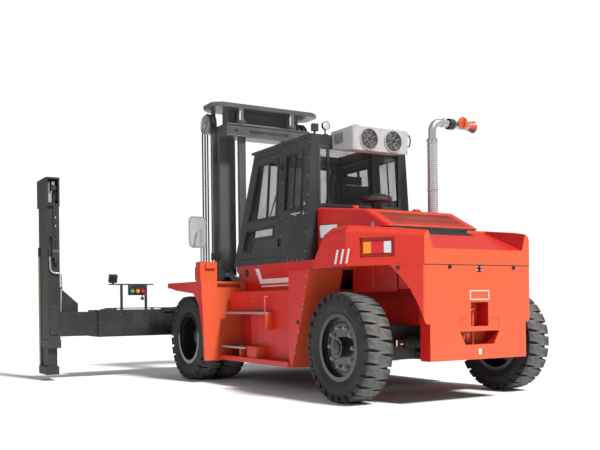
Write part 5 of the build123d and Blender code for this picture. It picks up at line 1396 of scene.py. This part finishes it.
cowl, bowl_place = bmesh.new(), Vector((0, 1.077, 0))
for i in range(36):
    turn = Matrix.Translation(bowl_place) @ Matrix.Rotation(math.pi * i / 18, 4, "Z")
    vs = plate(cowl, (0.108, 0.170), (-0.0022, 0.0022), (2.236, 2.252))
    bmesh.ops.transform(cowl, matrix=turn, verts=vs)
turned(
    cowl, [(0.179, 2.196), (0.1815, 2.202), (0.1815, 2.226), (0.176, 2.2365), (0.150, 2.2365),
           (0.150, 2.196)],
    bowl_place, (0, 0, 1), 56, band=True,
)
clamp = [(0.060, 2.140), (0.064, 2.142), (0.064, 2.160), (0.060, 2.162)]
turned(cowl, clamp, bowl_place, (0, 0, 1), 40, band=True)
finished(cowl, "pre_cleaner_vanes", "chassis", "plastic")

# Lift chains and hoses
# On each side of the mast a leaf chain runs between two hydraulic hoses over the top sheaves; the
# front falls and the rear ones, which are anchored outside, all ride on the inner mast.

sheave_y, sheave_z, sheave_radius = -1.955, 3.600, 0.139
chain_x, hose_places, pitch = 0.758, (0.718, 0.798), 0.0508


def build_link(work):
    """One pitch of leaf chain along its own axis: outer and inner plates and a pin."""
    for x in (-0.0095, -0.0035, 0.0035, 0.0095):
        plate(work, (x - 0.0016, x + 0.0016), (-0.0085, 0.0085), (-0.031, 0.031))
    bar(work, (-0.0125, 0, 0.0), (0.0125, 0, 0.0), 0.0045, 8)


link = shape("link_form", build_link)
fall_y = sheave_y - sheave_radius - 0.0113
rise_y = sheave_y + sheave_radius + 0.011
foot_z, anchor_z = 1.130, 1.320
front_links, rear_links = [], []
for side, sign in SIDES:
    z = foot_z + 0.06
    while z < sheave_z:
        front_links.append(((sign * chain_x, fall_y, z), (0, 0, 1)))
        z += pitch
    z = anchor_z
    while z < sheave_z:
        rear_links.append(((sign * chain_x, rise_y, z), (0, 0, 1)))
        z += pitch
    for i in range(1, 9):
        a = math.pi * i / 9
        reach = sheave_radius + 0.010
        rear_links.append((
            (sign * chain_x, sheave_y + reach * math.cos(a), sheave_z + reach * math.sin(a)),
            (0, -math.sin(a), math.cos(a)),
        ))
falls = repeated("front_chains", link, front_links, "mast_inner", "steel")
risers = repeated("rear_chains", link, rear_links, "mast_inner", "steel")
falls.data.materials[0] = risers.data.materials[0] = finishes["axle"]

front_hoses = bmesh.new()
rear_hoses = bmesh.new()
for side, sign in SIDES:
    for x in hose_places:
        bar(front_hoses, (sign * x, fall_y, foot_z), (sign * x, fall_y, sheave_z), 0.0112, 14)
        bar(rear_hoses, (sign * x, rise_y, anchor_z), (sign * x, rise_y, sheave_z), 0.0110, 14)
        turns = [
            (sign * x, sheave_y + 0.150 * math.cos(a), sheave_z + 0.150 * math.sin(a))
            for a in (math.pi * i / 14 for i in range(15))
        ]
        bent_bar(rear_hoses, turns, 0.0111, 14)
    side_plate(front_hoses, sign, (0.706, 0.810), (fall_y - 0.019, fall_y + 0.019), (foot_z, foot_z + 0.060))
falls_of_hose = finished(front_hoses, "front_hoses", "mast_inner", "plastic")
for piece in (falls, falls_of_hose):
    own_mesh(piece)
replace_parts(falls_of_hose, "front_strands")
finished(rear_hoses, "rear_hoses", "mast_inner", "plastic")

# Sheave flanges
# Each top sheave is a turned steel wheel: a bright rim and hub stand on its outer face, with six screws
# round the hub.

nodes["mast_sheaves"].material_slots[0].material = finishes["steel"]
flanges, flange_screws, flange_x = bmesh.new(), [], 0.829
for side, sign in SIDES:
    for ring in (
        [(0.124, -0.003), (0.124, 0.003), (0.128, 0.006), (0.136, 0.006), (0.1385, 0.002), (0.1385, -0.003)],
        [(0.004, 0.018), (0.026, 0.018), (0.030, 0.012), (0.046, 0.008), (0.048, -0.003)],
        [(0.094, -0.003), (0.094, 0.002), (0.099, 0.002), (0.099, -0.003)],
    ):
        hub = ring[0][0] < 0.05
        turned(flanges, ring, (sign * flange_x, sheave_y, sheave_z), (sign, 0, 0), 48, band=not hub)
    flange_screws += bolt_circle(sign * flange_x, sheave_y, sheave_z, 0.072, 6)
finished(flanges, "sheave_flanges", "mast_inner", "steel")
repeated("sheave_flange_screws", bolt, flange_screws, "mast_inner", "steel", size=0.018, spin=1.0)

# Mast fittings
# Screws down the outer channels, three slots in the crossbar drawn as dark strips of painted shade, two
# stiffening lips on it, and the packing nuts at the top of the lift cylinders.

mast_screws = []
for side, sign in SIDES:
    for z in (0.55, 0.95, 1.35, 1.75, 2.15, 2.55, 2.95, 3.30):
        mast_screws.append(((sign * 0.680, -1.875, z), (sign, 0, 0)))
repeated("mast_screws", bolt, mast_screws, "mast_outer", "steel", size=0.026, spin=1.0)

crossbar_y = -1.530
# The slots are dark strips laid on the crossbar: painted shade.
slot_shades = bmesh.new()
for low, high in ((-0.560, -0.505), (-0.320, 0.320), (0.505, 0.560)):
    plate(slot_shades, (low, high), (crossbar_y - 0.002, crossbar_y + 0.0015), (3.452, 3.498))
finished(slot_shades, "crossbar_slots", "mast_outer", "plastic", arris=0.0012)
lip = bmesh.new()
plate(lip, (-0.700, 0.700), (crossbar_y - 0.010, crossbar_y + 0.046), (3.378, 3.396))
plate(lip, (-0.680, 0.680), (crossbar_y - 0.002, crossbar_y + 0.010), (3.548, 3.570))
finished(lip, "crossbar_lip", "mast_outer", "mast", arris=0.004)
glands = bmesh.new()
for side, sign in SIDES:
    turned(
        glands, [(0.0425, 0.0), (0.066, 0.0), (0.068, 0.006), (0.068, 0.040), (0.062, 0.048),
                 (0.0425, 0.050)],
        (sign * 0.415, -1.605, 3.5895), (0, 0, 1), 36, band=True,
    )
finished(glands, "cylinder_glands", "mast_outer", "mast", arris=0.002)

# Post hoses and pipe
# Rubber hoses drop from each head down the post to a valve block, with one free loop of hose beside
# them, and a bright steel pipe carries on to the beam; clips hold the straight runs, and the lock's
# crank shows in the open head.


def on_side(sign, route):
    """A route on the left side, or its mirror on the right."""
    return [(sign * x, y, z) for x, y, z in route]


def tube(name, places, radius, body, kind, sides=4):
    """A smooth hose or pipe along its route."""
    route = bpy.data.curves.new(name, "CURVE")
    route.dimensions = "3D"
    route.bevel_depth = radius
    route.bevel_resolution = sides
    route.use_fill_caps = True
    line = route.splines.new("NURBS")
    line.points.add(len(places) - 1)
    for point, place in zip(line.points, places):
        point.co = tuple(place) + (1.0,)
    line.order_u = 3
    line.use_endpoint_u = True
    line.resolution_u = 8
    route.materials.append(finishes[kind])
    piece = bpy.data.objects.new(name, route)
    scene.collection.objects.link(piece)
    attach(piece, body)
    return piece


hose_y, hose_columns = -2.243, (2.872, 2.896, 2.921)
hose_steps = ((0.004, 2.372), (0.002, 2.25), (-0.004, 2.10), (0.006, 1.95), (0.002, 1.82), (0.0, 1.735))
pipe_route = (
    (2.985, hose_y, 1.640), (2.985, hose_y, 1.560), (2.975, hose_y, 1.480), (2.930, hose_y, 1.452),
    (2.870, hose_y, 1.452), (2.838, hose_y, 1.430), (2.836, hose_y, 1.350), (2.836, hose_y - 0.02, 1.150),
    (2.836, hose_y - 0.05, 0.935),
)
loop_route = (
    (2.945, hose_y, 1.735), (2.945, hose_y, 1.830), (2.940, hose_y + 0.004, 1.925),
    (2.975, hose_y + 0.006, 1.975), (3.008, hose_y + 0.004, 1.925), (3.010, hose_y, 1.830),
    (2.987, hose_y, 1.760), (2.985, hose_y, 1.640),
)
beam_places = (
    [(x, -2.257, z) for x in (2.872, 2.988) for z in (0.462, 0.528)]
    + [(x, -2.253, z) for x in (2.885, 2.975) for z in (0.650, 0.980)]
    + [(x, -2.2305, z) for x in (2.862, 3.019) for z in (2.375, 2.725)]
)
for side, sign in SIDES:
    body = f"beam_{side}"
    for i, x in enumerate(hose_columns):
        hose_route = on_side(sign, [(x + shift, hose_y, z) for shift, z in hose_steps])
        tube(f"post_hose_{side}_{i}", hose_route, 0.0115, body, "plastic")
    tube(f"post_pipe_{side}", on_side(sign, pipe_route), 0.011, body, "steel")
    loop = tube(f"post_hose_loop_{side}", on_side(sign, loop_route), 0.012, body, "plastic")
    valve = bmesh.new()
    side_plate(valve, sign, (2.862, 2.962), (-2.266, -2.222), (1.655, 1.738))
    side_plate(valve, sign, (2.880, 2.930), (-2.266, -2.214), (1.590, 1.657))
    for z in (2.300, 2.150, 1.900):
        side_plate(valve, sign, (2.858, 2.935), (-2.266, -2.230), (z - 0.010, z + 0.010))
    side_plate(valve, sign, (2.826, 2.852), (-2.268, -2.230), (1.240, 1.260))
    finished(valve, f"post_valve_{side}", body, "spreader", arris=0.003)
    fittings = bmesh.new()
    for x in hose_columns + (2.945,):
        bar(fittings, (sign * x, hose_y, 1.722), (sign * x, hose_y, 1.765), 0.0125, 6)
    bar(fittings, (sign * 2.985, hose_y, 1.615), (sign * 2.985, hose_y, 1.668), 0.0145, 6)
    for z in (2.085, 2.200):
        bar(fittings, (sign * 2.905, hose_y, z - 0.016), (sign * 2.905, hose_y, z + 0.016), 0.016, 6)
    finished(fittings, f"post_fittings_{side}", body, "steel")
    repeated(
        f"beam_screws_{side}", bolt, [(place, (0, 1, 0)) for place in on_side(sign, beam_places)],
        body, "axle", size=0.024, spin=1.0,
    )
    crank = bmesh.new()
    side_plate(crank, sign, (2.905, 2.945), (-2.330, -2.262), (2.640, 2.690))
    side_plate(crank, sign, (2.950, 2.995), (-2.310, -2.258), (2.400, 2.520))
    bar(crank, (sign * 2.960, -2.262, 2.53), (sign * 2.926, -2.262, 2.60), 0.012, 12)
    bar(crank, (sign * 2.976, -2.275, 2.52), (sign * 2.976, -2.275, 2.69), 0.007, 10)
    bar(crank, (sign * 2.990, -2.275, 2.50), (sign * 2.990, -2.275, 2.68), 0.006, 10)
    finished(crank, f"lock_crank_{side}", body, "steel", arris=0.002)

# Spreader trim
# Two control cables in clips along the top of the fixed beam, and a row of screws at each sleeve's
# end.

cable_steps = ((-2.10, 0.0, 0.966), (-1.2, 0.004, 0.966), (-0.3, 0.0, 0.968), (0.4, -0.004, 0.966),
               (1.3, 0.004, 0.966), (2.20, 0.0, 0.966))
for i, y in enumerate((-2.372, -2.392)):
    cable_route = [(x, y + shift, z) for x, shift, z in cable_steps]
    tube(f"spreader_cable_{i}", cable_route, 0.0065, "carriage", "plastic")
clips = bmesh.new()
for x in (-2.0, -1.55, -1.1, -0.65, -0.2, 0.25, 0.7, 1.15, 1.5, 2.05):
    plate(clips, (x - 0.014, x + 0.014), (-2.405, -2.358), (0.944, 0.977))
finished(clips, "spreader_cable_clips", "carriage", "axle", arris=0.002)
spreader_screws = []
for side, sign in SIDES:
    for z in (0.62, 0.76, 0.90):
        spreader_screws.append(((sign * 2.300, -2.283, z), (0, 1, 0)))
    for x in (1.10, 1.46, 1.90):
        spreader_screws.append(((sign * x, -2.295, 0.905), (0, 1, 0)))
repeated("spreader_screws", bolt, spreader_screws, "carriage", "axle", size=0.026, spin=1.0)

# Signal lamps and work light
# Green, amber and red lenses with short black visors face the driver, and a tilted work light with
# cooling fins and a clear glass stands beside them.

signal_x, signal_z, signal_y = 1.745, 1.210, -2.289
visors = bmesh.new()
for colour, x in (("green", signal_x + 0.080), ("amber", signal_x), ("red", signal_x - 0.080)):
    glass = bmesh.new()
    turned(
        glass, [(0.0335, -0.002), (0.0335, 0.004), (0.026, 0.010), (0.012, 0.013), (0.002, 0.0135)],
        (x, signal_y, signal_z), (0, 1, 0), 32,
    )
    finished(glass, f"signal_lens_{colour}", "carriage", "lamp", finish=lens_colours[colour])
    visor = [(0.0355, -0.003), (0.0385, -0.003), (0.0385, 0.022), (0.0355, 0.022)]
    turned(visors, visor, (x, signal_y, signal_z), (0, 1, 0), 32, band=True)
plate(visors, (1.655, 1.690), (-2.340, -2.290), (1.080, 1.120))
bar(visors, (1.672, -2.315, 1.115), (1.672, -2.315, 1.152), 0.008, 10)
finished(visors, "signal_visors", "carriage", "plastic")
repeated(
    "signal_screws", bolt,
    [((x, -2.2755, z), (0, 1, 0)) for x in (signal_x - 0.108, signal_x + 0.108) for z in (1.166, 1.280)],
    "carriage", "steel", size=0.012,
)
work_glass = bmesh.new()
tilt = math.radians(-20)
vs = plate(work_glass, (-0.049, 0.049), (-0.038, -0.029), (-0.048, 0.048))
work_light = Matrix.Translation((2.090, -2.345, 1.385)) @ Matrix.Rotation(tilt, 4, "X")
bmesh.ops.transform(work_glass, matrix=work_light, verts=vs)
finished(work_glass, "work_light_glass", "carriage", "lens", arris=0.003, finish=lens_colours["clear"])
fins = bmesh.new()
for i in range(6):
    vs = plate(fins, (-0.045 + 0.017 * i, -0.040 + 0.017 * i), (0.028, 0.040), (-0.044, 0.044))
    bmesh.ops.transform(fins, matrix=work_light, verts=vs)
finished(fins, "work_light_fins", "carriage", "plastic")

# Wear strips
# Tan bearing plastic screwed to the outer edge of each tall post, where it runs past a container, in
# three lengths with narrow gaps.

for side, sign in SIDES:
    strip = bmesh.new()
    for low, high in ((0.100, 0.612), (0.616, 1.128), (1.132, 1.690)):
        side_plate(strip, sign, (3.0105, 3.0245), (-2.700, -2.664), (low, high))
    finished(
        strip, f"wear_strip_{side}", f"beam_{side}", "plastic", arris=0.0015, finish=finishes["strip"],
    )

# Driver's seat
# A sprung seat on a pressed base: foam cushions in black cloth with sewn channels and a piped edge,
# two folding armrests and a belt buckle. The cushions are crowned and pull in between their corners.

cloth = bpy.data.materials.new("seat_cloth")
cloth.use_nodes = True
tree = cloth.node_tree
shader = tree.nodes["Principled BSDF"]
place = tree.nodes.new("ShaderNodeTexCoord")
split = tree.nodes.new("ShaderNodeSeparateXYZ")
tree.links.new(place.outputs["Object"], split.inputs[0])
threads = 1500.0
over_way = add_math(tree, "ADD", split.outputs["Y"], split.outputs["Z"])
over = add_math(tree, "SINE", add_math(tree, "MULTIPLY", over_way, threads), 0.0)
under = add_math(tree, "SINE", add_math(tree, "MULTIPLY", split.outputs["X"], threads), 0.0)
weave = add_range(tree, add_math(tree, "MULTIPLY", over, under), -1.0, 1.0)
woven = add_mix(tree, weave, (0.018, 0.018, 0.020, 1), (0.045, 0.046, 0.050, 1))
tree.links.new(woven, shader.inputs["Base Color"])
bump = tree.nodes.new("ShaderNodeBump")
bump.inputs["Distance"].default_value = 0.0008
tree.links.new(weave, bump.inputs["Height"])
tree.links.new(bump.outputs["Normal"], shader.inputs["Normal"])
shader.inputs["Roughness"].default_value = 0.85
shader.inputs["Sheen Weight"].default_value = 0.3


def cushion(name, x, y, z, face, channels):
    """A crowned pad between two places on each axis; face is the axis that its sitting side looks along."""
    work = bmesh.new()
    bmesh.ops.create_cube(work, size=2.0)
    bmesh.ops.subdivide_edges(work, edges=work.edges, cuts=15, use_grid_fill=True)
    sides = [i for i in (0, 1, 2) if i != face]
    half = [(b - a) / 2 for a, b in (x, y, z)]
    middle = [(b + a) / 2 for a, b in (x, y, z)]
    for v in work.verts:
        p = list(v.co)
        a, b, c = p[sides[0]], p[sides[1]], p[face]
        edge = max(abs(a), abs(b))
        crown = (1 - a ** 4) * (1 - b ** 4)
        rounded = 1 - 0.30 * max(0.0, edge - 0.8) / 0.2 if abs(c) > 0.99 else 1.0
        lift = c * rounded * (0.80 + 0.20 * crown)
        if c > 0:
            for channel in channels:
                lift -= 0.16 * math.exp(-(((b - channel) / 0.05) ** 2)) * crown
        pull = 1 - 0.045 * (1 - abs(c)) - 0.03 * (1 - b * b) * (abs(a) > 0.99)
        p[sides[0]] = a * pull * (1 - 0.02 * (1 - b * b))
        p[sides[1]] = b * (1 - 0.03 * (1 - a * a)) * pull
        p[face] = lift
        v.co = [m + h * q for m, h, q in zip(middle, half, p)]
    mesh = bpy.data.meshes.new(name)
    bmesh.ops.recalc_face_normals(work, faces=work.faces)
    work.to_mesh(mesh)
    work.free()
    mesh.materials.append(cloth)
    piece = settled(mesh, name, "chassis", "plastic", smooth=80.0)
    soften = piece.modifiers.new("soften", "SUBSURF")
    soften.levels = soften.render_levels = 1
    return piece


seat_pad = cushion("seat_cushion", (-0.245, 0.245), (0.040, 0.520), (1.865, 1.985), 2, (-0.45, 0.05, 0.55))
back_pad = cushion("seat_back", (-0.230, 0.230), (0.525, 0.640), (1.930, 2.450), 1, (-0.5, 0.0, 0.5))
for v in back_pad.data.vertices:
    v.co.y = 1.165 - v.co.y
back_pad.data.flip_normals()
cushion("seat_head_rest", (-0.120, 0.120), (0.545, 0.630), (2.455, 2.555), 1, ())
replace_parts(seat_pad, "seat")
frame_of_seat = bmesh.new()
plate(frame_of_seat, (-0.215, 0.215), (0.060, 0.480), (1.560, 1.640))
for i in range(6):
    shrink, fold_z = 0.012 * (i % 2), 1.640 + 0.030 * i
    plate(
        frame_of_seat, (-0.190 + shrink, 0.190 - shrink), (0.090 + shrink, 0.450 - shrink),
        (fold_z, fold_z + 0.032),
    )
plate(frame_of_seat, (-0.235, 0.235), (0.045, 0.520), (1.820, 1.868))
plate(frame_of_seat, (-0.215, 0.215), (0.632, 0.652), (1.900, 2.430))
for side, sign in SIDES:
    side_plate(frame_of_seat, sign, (0.235, 0.259), (0.470, 0.640), (1.835, 1.990))
    bar(frame_of_seat, (sign * 0.247, 0.590, 2.110), (sign * 0.247, 0.260, 2.120), 0.020, 14)
    bar(frame_of_seat, (sign * 0.050, 0.600, 2.430), (sign * 0.050, 0.600, 2.475), 0.007, 10)
finished(frame_of_seat, "seat_base_and_arms", "chassis", "plastic", arris=0.004)
buckle = bmesh.new()
plate(buckle, (0.249, 0.259), (0.420, 0.450), (1.900, 2.010))
finished(buckle, "belt_buckle", "chassis", "lamp", arris=0.003)

# Steering column and console
# A moulded console with a switch panel carries the column, its gaiter, and a ring wheel with three
# spokes and a turning knob; a small bank of levers stands at the driver's right hand.

console = bmesh.new()
plate(console, (-0.300, 0.300), (-0.985, -0.815), (1.559, 1.840))
plate(console, (-0.270, 0.270), (-0.975, -0.835), (1.838, 1.862))
bar(console, (0, -0.860, 1.830), (0, -0.640, 2.210), 0.038, 20, 0.030)
for i in range(5):
    z = 1.870 + 0.020 * i
    bar(console, (0, -0.846 + 0.0116 * i, z), (0, -0.840 + 0.0116 * i, z + 0.011), 0.050 - 0.002 * i, 20)
wheel_place, wheel_way = Vector((0, -0.600, 2.240)), Vector((0, 0.530, 0.848))
turned(console, round_section(0.186, 0.0125, 10), wheel_place, wheel_way, 56, band=True)
wheel_boss = [(0.040, -0.020), (0.046, -0.004), (0.040, 0.010), (0.004, 0.014)]
turned(console, wheel_boss, wheel_place, wheel_way, 28)
wheel_turn = wheel_way.to_track_quat("Z", "Y").to_matrix().to_4x4()
for i in range(3):
    vs = plate(console, (0.036, 0.180), (-0.014, 0.014), (-0.006, 0.002))
    spoke = Matrix.Translation(wheel_place) @ wheel_turn @ Matrix.Rotation(math.radians(120 * i + 90), 4, "Z")
    bmesh.ops.transform(console, matrix=spoke, verts=vs)
knob = Matrix.Translation(wheel_place) @ wheel_turn @ Matrix.Rotation(math.radians(200), 4, "Z")
vs = bar(console, (0.176, 0, 0.008), (0.176, 0, 0.050), 0.018, 18, 0.021)
bmesh.ops.transform(console, matrix=knob, verts=vs)
for x in (-0.245, -0.215, -0.185):
    bar(console, (x, -0.860, 1.860), (x, -0.840, 2.020), 0.005, 8)
    bar(console, (x, -0.840, 2.020), (x, -0.838, 2.055), 0.014, 14, 0.011)
plate(console, (0.120, 0.280), (-0.905, -0.885), (1.862, 1.985))
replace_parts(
    finished(console, "steering_wheel_and_console", "chassis", "plastic", arris=0.002), "steering_console",
)

# Head lamps
# A black pressed shell bolted on each front fender, with a bright bezel and a ribbed glass to the
# front.

head_y, head_z = -1.012, 1.410
for side, sign in SIDES:
    shell, glass, bezel = bmesh.new(), bmesh.new(), bmesh.new()
    side_plate(shell, sign, (1.235, 1.425), (head_y, -0.918), (1.322, 1.498))
    piece = finished(shell, f"head_lamp_shell_{side}", "chassis", "plastic", arris=0.012)
    if sign == 1:
        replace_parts(piece, "head_lamps")
    front = (sign * 1.330, head_y, head_z)
    turned(glass, [(0.072, 0.0), (0.072, 0.0025), (0.055, 0.003), (0.003, 0.003)], front, (0, -1, 0), 36)
    finished(glass, f"head_lamp_glass_{side}", "chassis", "lens", finish=lens_colours["clear"])
    bezel_section = [(0.072, -0.002), (0.084, -0.002), (0.082, 0.0028), (0.072, 0.003)]
    turned(bezel, bezel_section, front, (0, -1, 0), 36, band=True)
    finished(bezel, f"head_lamp_bezel_{side}", "chassis", "chrome")
